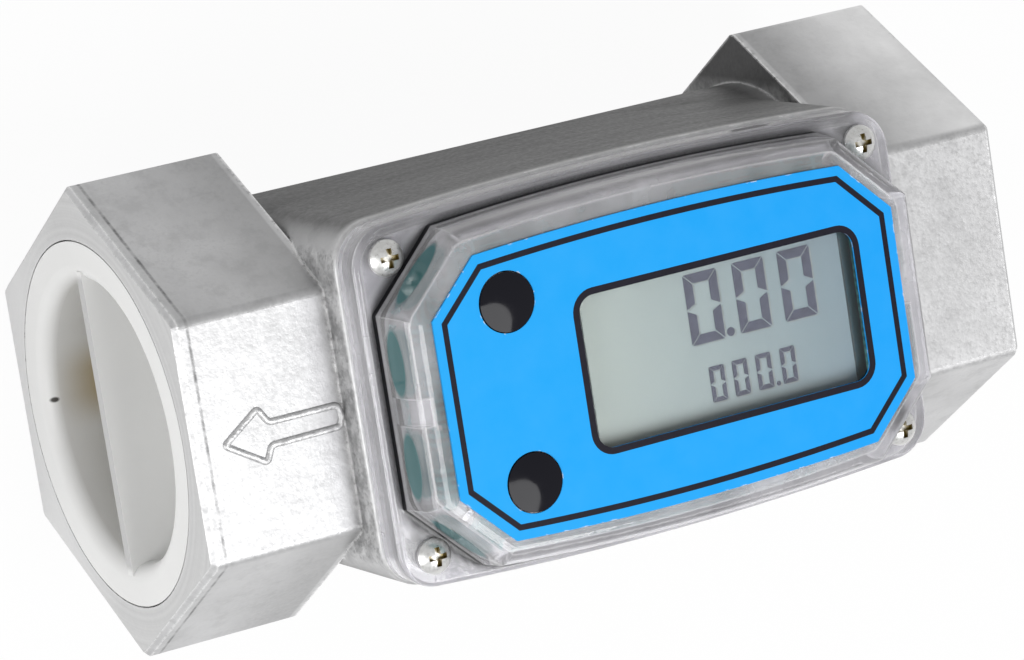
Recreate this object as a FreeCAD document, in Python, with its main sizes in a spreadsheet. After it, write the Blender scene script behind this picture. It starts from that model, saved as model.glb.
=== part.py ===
import FreeCAD, Part
import math
import operator
import os
from types import SimpleNamespace

import Sketcher
from FreeCAD import Vector

# Turbine flow meter: a cast pipe body with two hexagonal threaded ports, a turbine that
# spins in the bore, and a battery display under a clear cover.
# The pipe runs along X and the flow leaves at -X. The meter lies on the back flats of its
# hexagons, at Z = 0 under the middle of the pipe. Every body is drawn about the pipe axis
# and lifted onto it by its Placement, so heights below are measured from the pipe axis.

SIZES = [
    # cast body
    ("BodyLength", 125.7, "overall length along the pipe"),
    ("HexLength", 22.4, "length of each hexagon"),
    ("HexEdgeRound", 1.5, "rounding of the long hexagon edges"),
    ("HexEndChamfer", 0.7, "chamfer round each end face"),
    ("EndWall", 3.0, "casting round the gasket seat at a flat of the hexagon"),
    ("WaistWall", 1.3, "waist outside the root of the thread"),
    # ports and bore
    ("ThreadRadius", 23.9, "root of the pipe thread"),
    ("ThreadLength", 19.4, "length of the thread"),
    ("SeatWidth", 1.1, "gasket seat outside the root of the thread"),
    ("SeatDepth", 1.6, "depth of the gasket seat"),
    ("ChamberStep", 3.9, "step from the thread in to the bore for the supports"),
    ("ThroatStep", 1.0, "step from that bore in to the bore round the rotor"),
    # turbine
    ("RotorLength", 12.0, "length of the hub and blades"),
    ("EndPlay", 1.0, "space between the hub and each support"),
    ("HubRadius", 5.5, "rotor hub"),
    ("TipGap", 0.4, "clearance of the blade tips in the bore"),
    ("BladeWidth", 1.5, "blade thickness along the pipe"),
    ("BladePitch", 150.0, "pitch of the blade helix"),
    ("BladeCount", 8, "blades on the rotor"),
    ("ShaftRadius", 1.5, "fixed shaft"),
    ("ShaftHold", 0.54, "shaft held in each support, share of the support's length"),
    ("RunningGap", 0.05, "clearance of the bearings on the shaft"),
    ("FitGap", 0.03, "clearance of pressed, glued and threaded pieces"),
    ("BearingRadius", 3.0, "outside of the rotor bearings"),
    ("BearingLength", 4.0, "length of each rotor bearing"),
    ("WasherThickness", 0.6, "thrust washers"),
    ("MagnetRadius", 1.0, "magnets in the hub"),
    ("MagnetLength", 5.0, "length of each magnet"),
    ("SupportWall", 1.6, "wall of each support's ring"),
    ("SupportGap", 0.05, "clearance of a support in the bore"),
    ("SupportLand", 3.65, "bore between a retaining ring and the end of the thread"),
    ("SupportHubRadius", 6.0, "hub of each support"),
    ("VaneThickness", 1.6, "straightening vanes"),
    ("VaneCount", 4, "vanes on each support"),
    ("NoseShare", 0.54, "cone in front of the hub, share of the support's length"),
    ("NoseRadius", 1.5, "blunt tip of the cone"),
    ("RetainerThickness", 1.2, "retaining rings"),
    ("RetainerDepth", 1.2, "depth of the retaining ring grooves"),
    ("RetainerWidth", 2.4, "radial width of the retaining rings"),
    ("RetainerOpening", 9.0, "gap between a retaining ring's ends"),
    # outlet plug
    ("PlugGap", 1.8, "cup of the plug inside the root of the thread"),
    ("PlugWall", 2.7, "wall of the cup"),
    ("PlugDepth", 17.0, "depth of the cup"),
    ("PlugBase", 1.8, "bottom of the cup"),
    ("PlugSeatGap", 0.2, "clearance of the plug's flange in the gasket seat"),
    ("PlugMouthRound", 2.2, "rounding of the cup's mouth"),
    ("WebThickness", 1.6, "web across the cup"),
    # display cover
    ("FlangeBorderLong", 1.6, "flange beyond the foot of the dome, along the pipe"),
    ("FlangeBorderSide", 1.4, "flange beyond the foot of the dome, across the pipe"),
    ("FlangeCorner", 5.5, "corner radius of the flange and the boss"),
    ("FlangeBow", 1.2, "outward bow of the long sides of the flange and the boss"),
    ("PlateauStep", 2.2, "step of the boss that the cover's skirt fits round"),
    ("SkirtWidth", 1.8, "skirt of the cover"),
    ("SkirtGap", 0.1, "clearance between the skirt and the boss"),
    ("PlateThickness", 2.4, "flange of the cover above the boss"),
    ("PlateEdgeRound", 0.8, "rounding of the flange's top edge"),
    ("CoverGap", 0.1, "space between the cover and the casting, where the gasket bears"),
    ("BossBorder", 0.35, "casting beyond the edge of the cover"),
    ("BossEdgeRound", 0.6, "rounding of the boss's shoulder"),
    ("DomeHalfLength", 39.2, "foot of the dome, along the pipe"),
    ("DomeMargin", 8.0, "foot of the dome beyond the board posts, across the pipe"),
    ("DomeCut", 9.75, "cut corners of the dome"),
    ("DomeBow", 1.2, "outward bow of the dome's long sides"),
    ("DomeHeight", 7.7, "dome above the flange"),
    ("DomeDraft", 0.8, "lean of the dome's walls"),
    ("DomeEdgeRound", 2.6, "rounding of the dome's top edge"),
    ("CavityCornerRound", 2.4, "rounding of the upright corners inside the dome"),
    ("CoverWall", 2.4, "wall of the dome"),
    ("CeilingThickness", 2.2, "top of the dome"),
    ("RibWidth", 3.6, "locating rib inside each end of the dome"),
    ("RibDepth", 1.1, "how far the locating ribs stand in"),
    # label and window
    ("LabelMarginLong", 4.4, "label inside the foot of the dome, along the pipe"),
    ("LabelMarginSide", 3.8, "label inside the foot of the dome, across the pipe"),
    ("LabelCut", 7.1, "cut corners of the label"),
    ("LabelBow", 0.95, "outward bow of the label's long sides"),
    ("LabelThickness", 0.3, "label"),
    ("WindowMargin", 11.05, "window's end from the foot of the dome"),
    ("WindowButtonGap", 10.05, "window's other end from the buttons"),
    ("WindowHalfWidth", 10.15, "clear window, across the pipe"),
    ("WindowCorner", 2.2, "corner radius of the window"),
    # buttons and switches
    ("ButtonMarginLong", 15.3, "buttons inside the foot of the dome, along the pipe"),
    ("ButtonMarginSide", 10.7, "buttons inside the foot of the dome, across the pipe"),
    ("ButtonRadius", 3.9, "visible button"),
    ("ButtonGap", 0.15, "clearance of a button in the cover"),
    ("ButtonEdge", 0.15, "edge of a button above the label"),
    ("ButtonCrown", 0.6, "middle of a button above the label"),
    ("ButtonLip", 1.0, "lip that holds a button under the cover"),
    ("ButtonLipThickness", 0.8, "thickness of the lip"),
    ("ButtonTravel", 0.5, "travel of a button"),
    ("StemRadius", 1.6, "stem under a button"),
    ("SwitchSide", 6.0, "tactile switch"),
    ("PlungerRadius", 1.75, "switch plunger"),
    ("PlungerHeight", 0.9, "switch plunger"),
    ("StemLength", 1.2, "stem of a button below its lip"),
    ("PressGap", 0.05, "space left between a pressed button and its switch"),
    # screws
    ("ScrewInsetLong", 4.75, "cover screws inside the flange's ends"),
    ("ScrewInsetSide", 4.28, "cover screws inside the flange's sides"),
    ("ScrewRadius", 1.45, "shank of the cover screws"),
    ("ScrewGap", 0.15, "clearance round the screws"),
    ("ScrewReach", 7.0, "length of screw in the casting"),
    ("HeadRadius", 2.4, "screw heads"),
    ("HeadHeight", 1.7, "screw heads"),
    ("HeadEdge", 0.3, "straight edge of a screw head, share of its height"),
    ("RecessLength", 0.54, "cross recess, share of the head's radius"),
    ("RecessWidth", 0.15, "cross recess, share of the head's radius"),
    ("RecessDepth", 0.6, "cross recess, share of the head's height"),
    ("BoardScrewRadius", 1.0, "shank of the board screws"),
    ("BoardScrewReach", 4.0, "length of board screw in a post"),
    ("BoardHeadRadius", 1.8, "heads of the board screws"),
    ("BoardHeadHeight", 1.1, "heads of the board screws"),
    # electronics pocket
    ("FloorWall", 3.0, "casting between the bore and the pocket"),
    ("PocketInset", 3.4, "pocket inside the dome's outline"),
    ("GasketInset", 2.4, "inner edge of the gasket inside the dome's outline"),
    ("GasketWidth", 1.2, "gasket"),
    ("GasketDepth", 1.2, "gasket"),
    ("GasketSideGap", 0.1, "clearance of the gasket in its groove"),
    ("PostRadius", 2.3, "posts under the board"),
    ("PostGap", 0.6, "space between the posts and the battery tray"),
    ("PostMargin", 9.2, "posts inside the foot of the dome, along the pipe"),
    ("BoardInset", 2.9, "board inside the dome's outline"),
    ("BoardThickness", 1.6, "circuit board"),
    ("BoardLift", 0.5, "board above the boss"),
    ("NotchGap", 0.2, "clearance of the board round the cover's ribs"),
    # display
    ("GlassMargin", 1.15, "display glass inside the window's ends"),
    ("GlassHalfWidth", 10.6, "display glass, across the pipe"),
    ("GlassThickness", 2.4, "display glass"),
    ("GlassGap", 0.2, "glass below the cover"),
    ("BackingThickness", 0.5, "reflector behind the glass"),
    ("HolderWall", 1.6, "frame that holds the glass"),
    ("HolderGap", 0.1, "clearance of the glass in its frame"),
    ("StripWidth", 1.8, "contact strips under the glass"),
    ("ChipSide", 9.0, "controller chip"),
    ("ChipHeight", 1.4, "controller chip"),
    ("CrystalRadius", 1.0, "clock crystal"),
    ("CrystalLength", 6.0, "clock crystal"),
    ("CapacitorRadius", 2.0, "capacitor under the board"),
    ("CapacitorHeight", 5.0, "capacitor under the board"),
    ("CapacitorMargin", 6.5, "capacitor inside the board posts, along the pipe"),
    # batteries
    ("BatteryRadius", 5.25, "battery"),
    ("BatteryLength", 43.6, "battery without its cap"),
    ("BatteryCap", 0.9, "battery's positive cap"),
    ("BatteryCapRadius", 1.9, "battery's positive cap"),
    ("BatteryGap", 0.15, "clearance of a battery in the tray"),
    ("BatteryHeadroom", 0.7, "space between the batteries and the board"),
    ("TrayWall", 0.7, "battery tray"),
    ("TrayGap", 0.6, "space between the tray and the end of the pocket"),
    ("ContactGauge", 0.4, "battery contacts"),
    ("ContactWidth", 6.0, "battery contacts"),
    ("SpringLength", 1.8, "battery springs"),
    ("SpringRadius", 2.6, "battery springs"),
    ("WireRadius", 0.3, "wire of the battery springs and the coil's pins"),
    # pickup coil
    ("CoilRadius", 3.0, "pickup coil"),
    ("CoilHeight", 5.4, "pickup coil"),
    ("CoilMargin", 0.7, "space between the coil and the battery tray"),
    ("CoilSeatGap", 0.2, "clearance of the coil in its well"),
    ("WellFloor", 1.2, "casting left between the well and the throat"),
    ("CoreRadius", 1.0, "pickup core"),
    ("SpoolWall", 0.5, "spool of the pickup coil"),
]

OPERATIONS = {
    "+": operator.add,
    "-": operator.sub,
    "*": operator.mul,
    "/": operator.truediv,
}


class Size:
    """A number together with the spreadsheet expression that gives it."""

    def __init__(self, value, text):
        self.value = float(value)
        self.text = text

    def __add__(self, other):
        return joined(self, "+", other)

    def __radd__(self, other):
        return joined(other, "+", self)

    def __sub__(self, other):
        return joined(self, "-", other)

    def __rsub__(self, other):
        return joined(other, "-", self)

    def __mul__(self, other):
        return joined(self, "*", other)

    def __rmul__(self, other):
        return joined(other, "*", self)

    def __truediv__(self, other):
        return joined(self, "/", other)

    def __neg__(self):
        return joined(0, "-", self)


def as_size(number):
    if isinstance(number, Size):
        return number
    return Size(number, "%.12g" % number if number >= 0 else "(%.12g)" % number)


def joined(left, sign, right):
    left = as_size(left)
    right = as_size(right)
    value = OPERATIONS[sign](left.value, right.value)
    return Size(value, "(%s %s %s)" % (left.text, sign, right.text))


doc = FreeCAD.newDocument("flow_meter")
sheet = doc.addObject("Spreadsheet::Sheet", "Sizes")
for row, (alias, number, meaning) in enumerate(SIZES, start=1):
    sheet.set("A%d" % row, meaning)
    sheet.set("B%d" % row, str(number))
    sheet.setAlias("B%d" % row, alias)
doc.recompute()
size = SimpleNamespace(**{alias: Size(number, "Sizes." + alias) for alias, number, _ in SIZES})

# Round the pipe axis.
seat_radius = size.ThreadRadius + size.SeatWidth
across_flats = 2 * (seat_radius + size.EndWall)
waist_radius = size.ThreadRadius + size.WaistWall
chamber_radius = size.ThreadRadius - size.ChamberStep
throat_radius = chamber_radius - size.ThroatStep
plug_radius = size.ThreadRadius - size.PlugGap
magnet_place = (size.HubRadius + size.BearingRadius) / 2

# Levels above the pipe axis. The batteries set the height of the boss.
axis_height = across_flats / 2
pocket_floor = chamber_radius + size.FloorWall
tray_floor = pocket_floor + size.TrayWall
battery_height = tray_floor + size.BatteryRadius
board_bottom = battery_height + size.BatteryRadius + size.BatteryHeadroom
board_top = board_bottom + size.BoardThickness
plateau_top = board_bottom - size.BoardLift
boss_height = plateau_top - size.PlateauStep
cover_bottom = boss_height + size.CoverGap
plate_bottom = plateau_top + size.CoverGap
flange_top = plate_bottom + size.PlateThickness
dome_top = flange_top + size.DomeHeight
label_top = dome_top + size.LabelThickness
ceiling = dome_top - size.CeilingThickness
glass_top = ceiling - size.GlassGap
glass_bottom = glass_top - size.GlassThickness
lip_top = ceiling - size.ButtonGap
lip_bottom = lip_top - size.ButtonLipThickness
stem_end = lip_bottom - size.StemLength
switch_top = stem_end - size.ButtonTravel - size.PressGap
well_bottom = throat_radius + size.WellFloor

# Places along the pipe. The batteries come first, then the coil with the rotor under it.
half_length = size.BodyLength / 2
waist_end = half_length - size.HexLength
thread_end = half_length - size.SeatDepth - size.ThreadLength
flange_half_length = size.DomeHalfLength + size.FlangeBorderLong
screw_x = flange_half_length - size.ScrewInsetLong
post_x = size.DomeHalfLength - size.PostMargin
button_x = size.ButtonMarginLong - size.DomeHalfLength
label_half_length = size.DomeHalfLength - size.LabelMarginLong
window_end = size.DomeHalfLength - size.WindowMargin
window_start = button_x + size.WindowButtonGap
window_x = (window_end + window_start) / 2
window_half_length = (window_end - window_start) / 2
glass_half_length = window_half_length - size.GlassMargin
battery_space = (2 * size.ContactGauge + size.SpringLength + size.BatteryLength
                 + size.BatteryCap)
tray_start = size.PocketInset + size.TrayGap - size.DomeHalfLength
near_wall = tray_start + size.TrayWall
far_wall = near_wall + battery_space
tray_end = far_wall + size.TrayWall
rotor_x = tray_end + size.CoilMargin + size.CoilRadius
throat_inlet = rotor_x + size.RotorLength / 2 + size.EndPlay
throat_outlet = rotor_x - size.RotorLength / 2 - size.EndPlay
retainer_x = thread_end - size.SupportLand - size.RetainerThickness
support_length = retainer_x - throat_inlet
shaft_hold = support_length * size.ShaftHold

# Places across the pipe. The battery tray sets the width of the dome.
battery_y = size.BatteryRadius + size.TrayWall / 2
tray_half_width = battery_y + size.BatteryRadius + size.BatteryGap + size.TrayWall
post_y = tray_half_width + size.PostGap + size.PostRadius
dome_half_width = post_y + size.DomeMargin
flange_half_width = dome_half_width + size.FlangeBorderSide
screw_y = flange_half_width - size.ScrewInsetSide
button_y = dome_half_width - size.ButtonMarginSide
label_half_width = dome_half_width - size.LabelMarginSide


# ---------------------------------------------------------------- drawing helpers

def bind(item, prop, number):
    """Ties one property of a document object to the spreadsheet."""
    item.setExpression(prop, as_size(number).text)


def new_body(name, x=0, y=0, z=0, turned=False):
    """A body whose origin stands at x, y and z, measured from the pipe axis. A turned
    body is swung half a turn about the vertical."""
    body = doc.addObject("PartDesign::Body", name)
    body.Label = name
    if turned:
        body.Placement = FreeCAD.Placement(Vector(), FreeCAD.Rotation(Vector(0, 0, 1), 180))
    bind(body, "Placement.Base.x", x)
    bind(body, "Placement.Base.y", y)
    bind(body, "Placement.Base.z", axis_height + z)
    return body


def origin_part(body, role):
    return next(item for item in body.Origin.OriginFeatures if item.Role == role)


def new_sketch(body, name, role, lift=0):
    """A sketch on one of the body's origin planes, moved along the plane's normal."""
    sketch = body.newObject("Sketcher::SketchObject", name)
    sketch.AttachmentSupport = [(origin_part(body, role), "")]
    sketch.MapMode = "FlatFace"
    bind(sketch, "AttachmentOffset.Base.z", lift)
    return sketch


def pin_point(sketch, geometry, position, x, y):
    """Fixes a point of the sketch by its distances from the sketch's origin."""
    for kind, number in (("DistanceX", x), ("DistanceY", y)):
        number = as_size(number)
        index = sketch.addConstraint(
            Sketcher.Constraint(kind, -1, 1, geometry, position, number.value))
        sketch.setExpression("Constraints[%d]" % index, number.text)


def pin_radius(sketch, geometry, radius):
    radius = as_size(radius)
    index = sketch.addConstraint(Sketcher.Constraint("Radius", geometry, radius.value))
    sketch.setExpression("Constraints[%d]" % index, radius.text)


def arc_middle(start, end, radius):
    """The middle of the shorter arc that bulges to the right of start to end."""
    chord = end - start
    half = chord.Length / 2
    rise = radius - math.sqrt(max(radius * radius - half * half, 0))
    outward = Vector(chord.y, -chord.x, 0).normalize()
    return (start + end) * 0.5 + outward * rise


def draw(sketch, corners, radii=None):
    """Draws a closed outline anticlockwise. A side with a radius is an arc outwards."""
    radii = radii or {}
    points = [Vector(as_size(x).value, as_size(y).value, 0) for x, y in corners]
    sides = []
    for number, start in enumerate(points):
        end = points[(number + 1) % len(points)]
        if number in radii:
            middle = arc_middle(start, end, as_size(radii[number]).value)
            shape = Part.Arc(start, middle, end)
        else:
            shape = Part.LineSegment(start, end)
        sides.append(sketch.addGeometry(shape, False))
    for number, side in enumerate(sides):
        following = sides[(number + 1) % len(sides)]
        sketch.addConstraint(Sketcher.Constraint("Coincident", side, 2, following, 1))
        pin_point(sketch, side, 1, *corners[number])
        if number in radii:
            pin_radius(sketch, side, radii[number])


def draw_circle(sketch, x, y, radius):
    centre = Vector(as_size(x).value, as_size(y).value, 0)
    circle = Part.Circle(centre, Vector(0, 0, 1), as_size(radius).value)
    geometry = sketch.addGeometry(circle, False)
    pin_point(sketch, geometry, 3, x, y)
    pin_radius(sketch, geometry, radius)


def draw_rectangle(sketch, left, bottom, right, top):
    draw(sketch, [(left, bottom), (right, bottom), (right, top), (left, top)])


def draw_rounded(sketch, half_length, half_width, corner, bow=None, centre=0):
    """A rectangle with round corners, whose long sides may bow outwards."""
    inner_x = half_length - corner
    inner_y = half_width - corner
    corners = [
        (centre + inner_x, -half_width), (centre + half_length, -inner_y),
        (centre + half_length, inner_y), (centre + inner_x, half_width),
        (centre - inner_x, half_width), (centre - half_length, inner_y),
        (centre - half_length, -inner_y), (centre - inner_x, -half_width),
    ]
    radii = {side: corner for side in (0, 2, 4, 6)}
    if bow is not None:
        radii[3] = radii[7] = bow_radius(inner_x, bow)
    draw(sketch, corners, radii)


def bow_radius(half_chord, bow):
    return (half_chord * half_chord + bow * bow) / (2 * bow)


def draw_octagon(sketch, half_length, half_width, cut, bow, inset=0):
    """An octagon with 45 degree corners and bowed long sides, drawn inset all round."""
    cut = cut - inset * (2 - math.sqrt(2))
    half_length = half_length - inset
    half_width = half_width - inset
    inner_x = half_length - cut
    inner_y = half_width - cut
    corners = [
        (inner_x, -half_width), (half_length, -inner_y),
        (half_length, inner_y), (inner_x, half_width),
        (-inner_x, half_width), (-half_length, inner_y),
        (-half_length, -inner_y), (-inner_x, -half_width),
    ]
    radius = bow_radius(inner_x, bow)
    draw(sketch, corners, {3: radius, 7: radius})


def draw_dome(sketch, inset=0):
    draw_octagon(sketch, size.DomeHalfLength, dome_half_width, size.DomeCut,
                 size.DomeBow, as_size(inset))


def pad(body, name, sketch, length, midplane=False, reverse=False):
    feature = body.newObject("PartDesign::Pad", name)
    feature.Profile = sketch
    feature.Midplane = midplane
    feature.Reversed = reverse
    bind(feature, "Length", length)
    return feature


def pocket(body, name, sketch, length, midplane=False, reverse=False):
    """Cuts along the sketch plane's normal backwards, or forwards when reversed."""
    before = volume(body)
    feature = body.newObject("PartDesign::Pocket", name)
    feature.Profile = sketch
    feature.Midplane = midplane
    feature.Reversed = reverse
    bind(feature, "Length", length)
    check_cut(body, feature, before)
    return feature


def turn(body, name, sketch, role="X_Axis"):
    feature = body.newObject("PartDesign::Revolution", name)
    feature.Profile = sketch
    feature.ReferenceAxis = (origin_part(body, role), [""])
    feature.Angle = 360
    return feature


def groove(body, name, sketch, role="X_Axis"):
    before = volume(body)
    feature = body.newObject("PartDesign::Groove", name)
    feature.Profile = sketch
    feature.ReferenceAxis = (origin_part(body, role), [""])
    feature.Angle = 360
    check_cut(body, feature, before)
    return feature


def volume(body):
    doc.recompute()
    return body.Shape.Volume


def check_cut(body, feature, before):
    if volume(body) >= before - 1e-6:
        raise RuntimeError("%s cuts nothing from %s" % (feature.Name, body.Name))


def dress(body, name, kind, base, edges, prop, amount):
    """Rounds or chamfers the edges of the last feature that the test picks out."""
    doc.recompute()
    names = ["Edge%d" % (index + 1) for index, edge in enumerate(base.Shape.Edges) if edges(edge)]
    if not names:
        raise RuntimeError("no edges for %s" % name)
    feature = body.newObject(kind, name)
    feature.Base = (base, names)
    bind(feature, prop, amount)
    return feature


def round_edges(body, name, base, edges, radius):
    return dress(body, name, "PartDesign::Fillet", base, edges, "Radius", radius)


def chamfer_edges(body, name, base, edges, width):
    return dress(body, name, "PartDesign::Chamfer", base, edges, "Size", width)


def repeat_round(body, name, features, count):
    """Repeats features about the pipe axis."""
    pattern = body.newObject("PartDesign::PolarPattern", name)
    pattern.Originals = features
    pattern.Axis = (origin_part(body, "X_Axis"), [""])
    pattern.Angle = 360
    bind(pattern, "Occurrences", count)
    body.Tip = pattern
    return pattern


def together(name, pieces):
    """One node that holds identical pieces as separate solids."""
    group = doc.addObject("Part::Compound", name)
    group.Links = pieces
    group.Label = name
    return group


def mirrored_group(name, source, normals):
    """One node that holds a piece and its mirror images, as separate solids."""
    for number, normal in enumerate(normals, start=1):
        image = doc.addObject("Part::Mirroring", "%s_image_%d" % (source.Name, number))
        image.Source = source
        image.Normal = normal
        group = doc.addObject("Part::Compound", "%s_%d" % (name, number))
        group.Links = [source, image]
        source = group
    source.Label = name
    return source


ACROSS = Vector(0, 1, 0)
ALONG = Vector(1, 0, 0)


def spans(edge, axis, places):
    """True where an edge lies in one of the planes across the given axis."""
    box = edge.BoundBox
    low = (box.XMin, box.YMin, box.ZMin)[axis]
    high = (box.XMax, box.YMax, box.ZMax)[axis]
    return any(abs(low - place) < 1e-3 and abs(high - place) < 1e-3 for place in places)


def stands_between(edge, low, high):
    """True for an edge that stands upright from one height to the other."""
    box = edge.BoundBox
    return abs(box.ZMin - low) < 1e-3 and abs(box.ZMax - high) < 1e-3


# ---------------------------------------------------------------- cast body

def hexagon(sketch, across_flats):
    """A hexagon with flats above and below and corners to the sides."""
    corner = across_flats / math.sqrt(3)
    flat = across_flats / 2
    draw(sketch, [(corner, 0), (corner / 2, flat), (-corner / 2, flat),
                  (-corner, 0), (-corner / 2, -flat), (corner / 2, -flat)])


def bore_profile():
    """Half section of the bore from the outlet to the inlet, drawn from the axis out."""
    inlet_groove = retainer_x
    outlet_groove = throat_outlet - support_length
    groove_radius = chamber_radius + size.RetainerDepth
    seat_end = half_length - size.SeatDepth
    beyond = half_length + 1
    steps = [
        (-beyond, seat_radius), (-seat_end, seat_radius),
        (-seat_end, size.ThreadRadius), (-thread_end, size.ThreadRadius),
        (-thread_end, chamber_radius),
        (outlet_groove - size.RetainerThickness, chamber_radius),
        (outlet_groove - size.RetainerThickness, groove_radius),
        (outlet_groove, groove_radius), (outlet_groove, chamber_radius),
        (throat_outlet, chamber_radius), (throat_outlet, throat_radius),
        (throat_inlet, throat_radius), (throat_inlet, chamber_radius),
        (inlet_groove, chamber_radius), (inlet_groove, groove_radius),
        (inlet_groove + size.RetainerThickness, groove_radius),
        (inlet_groove + size.RetainerThickness, chamber_radius),
        (thread_end, chamber_radius), (thread_end, size.ThreadRadius),
        (seat_end, size.ThreadRadius), (seat_end, seat_radius),
        (beyond, seat_radius),
    ]
    return [(-beyond, 0), (beyond, 0)] + steps[::-1]


def make_meter_body():
    body = new_body("meter_body")
    bar_outline = new_sketch(body, "bar_outline", "YZ_Plane")
    hexagon(bar_outline, across_flats)
    bar = pad(body, "hexagon_bar", bar_outline, size.BodyLength, midplane=True)
    along = round_edges(body, "long_edge_rounds", bar,
                        lambda edge: edge.BoundBox.XLength > 1, size.HexEdgeRound)
    ends = (-half_length.value, half_length.value)
    chamfer_edges(body, "end_chamfers", along,
                  lambda edge: spans(edge, 0, ends), size.HexEndChamfer)

    waist_section = new_sketch(body, "waist_section", "XZ_Plane")
    draw_rectangle(waist_section, -waist_end, waist_radius, waist_end, across_flats)
    groove(body, "waist", waist_section)

    boss_outline = new_sketch(body, "boss_outline", "XY_Plane")
    draw_rounded(boss_outline, flange_half_length + size.BossBorder,
                 flange_half_width + size.BossBorder, size.FlangeCorner + size.BossBorder,
                 size.FlangeBow)
    boss = pad(body, "boss", boss_outline, boss_height)
    round_edges(body, "boss_edge_round", boss,
                lambda edge: spans(edge, 2, (boss_height.value,)), size.BossEdgeRound)
    plateau_outline = new_sketch(body, "plateau_outline", "XY_Plane")
    skirt = size.SkirtWidth + size.SkirtGap
    draw_rounded(plateau_outline, flange_half_length - skirt, flange_half_width - skirt,
                 size.FlangeCorner - skirt, size.FlangeBow)
    pad(body, "plateau", plateau_outline, plateau_top)

    bore_section = new_sketch(body, "bore_section", "XZ_Plane")
    draw(bore_section, bore_profile())
    groove(body, "bore", bore_section)

    pocket_outline = new_sketch(body, "pocket_outline", "XY_Plane", plateau_top)
    draw_dome(pocket_outline, size.PocketInset)
    pocket(body, "electronics_pocket", pocket_outline, plateau_top - pocket_floor)
    gasket_outline = new_sketch(body, "gasket_outline", "XY_Plane", plateau_top)
    draw_dome(gasket_outline, size.GasketInset - size.GasketWidth)
    draw_dome(gasket_outline, size.GasketInset)
    pocket(body, "gasket_groove", gasket_outline, size.GasketDepth)

    well_outline = new_sketch(body, "well_outline", "XY_Plane", pocket_floor)
    draw_circle(well_outline, rotor_x, 0, size.CoilRadius + size.CoilSeatGap)
    pocket(body, "coil_well", well_outline, pocket_floor - well_bottom)

    post_outline = new_sketch(body, "post_outline", "XY_Plane", pocket_floor - 1)
    hole_outline = new_sketch(body, "board_hole_outline", "XY_Plane", board_bottom)
    screw_outline = new_sketch(body, "screw_hole_outline", "XY_Plane", plateau_top)
    for side_x in (-1, 1):
        for side_y in (-1, 1):
            post = (side_x * post_x, side_y * post_y)
            draw_circle(post_outline, *post, size.PostRadius)
            draw_circle(hole_outline, *post, size.BoardScrewRadius + size.FitGap)
            draw_circle(screw_outline, side_x * screw_x, side_y * screw_y,
                        size.ScrewRadius + size.FitGap)
    pad(body, "board_posts", post_outline, board_bottom - pocket_floor + 1)
    pocket(body, "board_screw_holes", hole_outline, size.BoardScrewReach + 1)
    pocket(body, "cover_screw_holes", screw_outline, size.ScrewReach + 1)
    return body


# ---------------------------------------------------------------- turbine

def make_support(name, face, direction):
    """Ring, vanes and hub that hold one end of the shaft. Direction points upstream or
    downstream, away from the rotor, and face is where the support meets the throat."""
    body = new_body(name, x=face)
    outer = chamber_radius - size.SupportGap
    inner = outer - size.SupportWall
    length = direction * support_length
    nose = length * size.NoseShare
    hub_end = length - nose / 2
    tip = hub_end + nose

    ring_section = new_sketch(body, "ring_section", "XZ_Plane")
    draw_rectangle(ring_section, 0, inner, length, outer)
    turn(body, "ring", ring_section)

    hub_section = new_sketch(body, "hub_section", "XZ_Plane")
    draw(hub_section, [(0, 0), (tip, 0), (tip, size.NoseRadius),
                       (hub_end, size.SupportHubRadius), (0, size.SupportHubRadius)])
    turn(body, "hub", hub_section)

    vane_outline = new_sketch(body, "vane_outline", "XZ_Plane")
    overlap = size.SupportWall / 2
    draw(vane_outline, [(0, size.SupportHubRadius - overlap),
                        (hub_end, size.SupportHubRadius - overlap),
                        (length, inner + overlap), (0, inner + overlap)])
    vane = pad(body, "vane", vane_outline, size.VaneThickness, midplane=True)
    repeat_round(body, "vanes", [vane], size.VaneCount)

    shaft_outline = new_sketch(body, "shaft_hole_outline", "YZ_Plane")
    draw_circle(shaft_outline, 0, 0, size.ShaftRadius + size.FitGap)
    pocket(body, "shaft_hole", shaft_outline, shaft_hold, reverse=direction > 0)
    return body


def make_retainer(name, start):
    """Internal retaining ring with its opening at the bottom."""
    body = new_body(name, x=start)
    outer = chamber_radius + size.RetainerDepth - size.SupportGap
    ring_outline = new_sketch(body, "ring_outline", "YZ_Plane")
    draw_circle(ring_outline, 0, 0, outer)
    draw_circle(ring_outline, 0, 0, outer - size.RetainerWidth)
    pad(body, "ring", ring_outline, size.RetainerThickness)
    opening_outline = new_sketch(body, "opening_outline", "YZ_Plane")
    half_opening = size.RetainerOpening / 2
    draw_rectangle(opening_outline, -half_opening, -outer - 1, half_opening,
                   -(outer - 2 * size.RetainerWidth))
    pocket(body, "opening", opening_outline, size.RetainerThickness, reverse=True)
    return body


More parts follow.
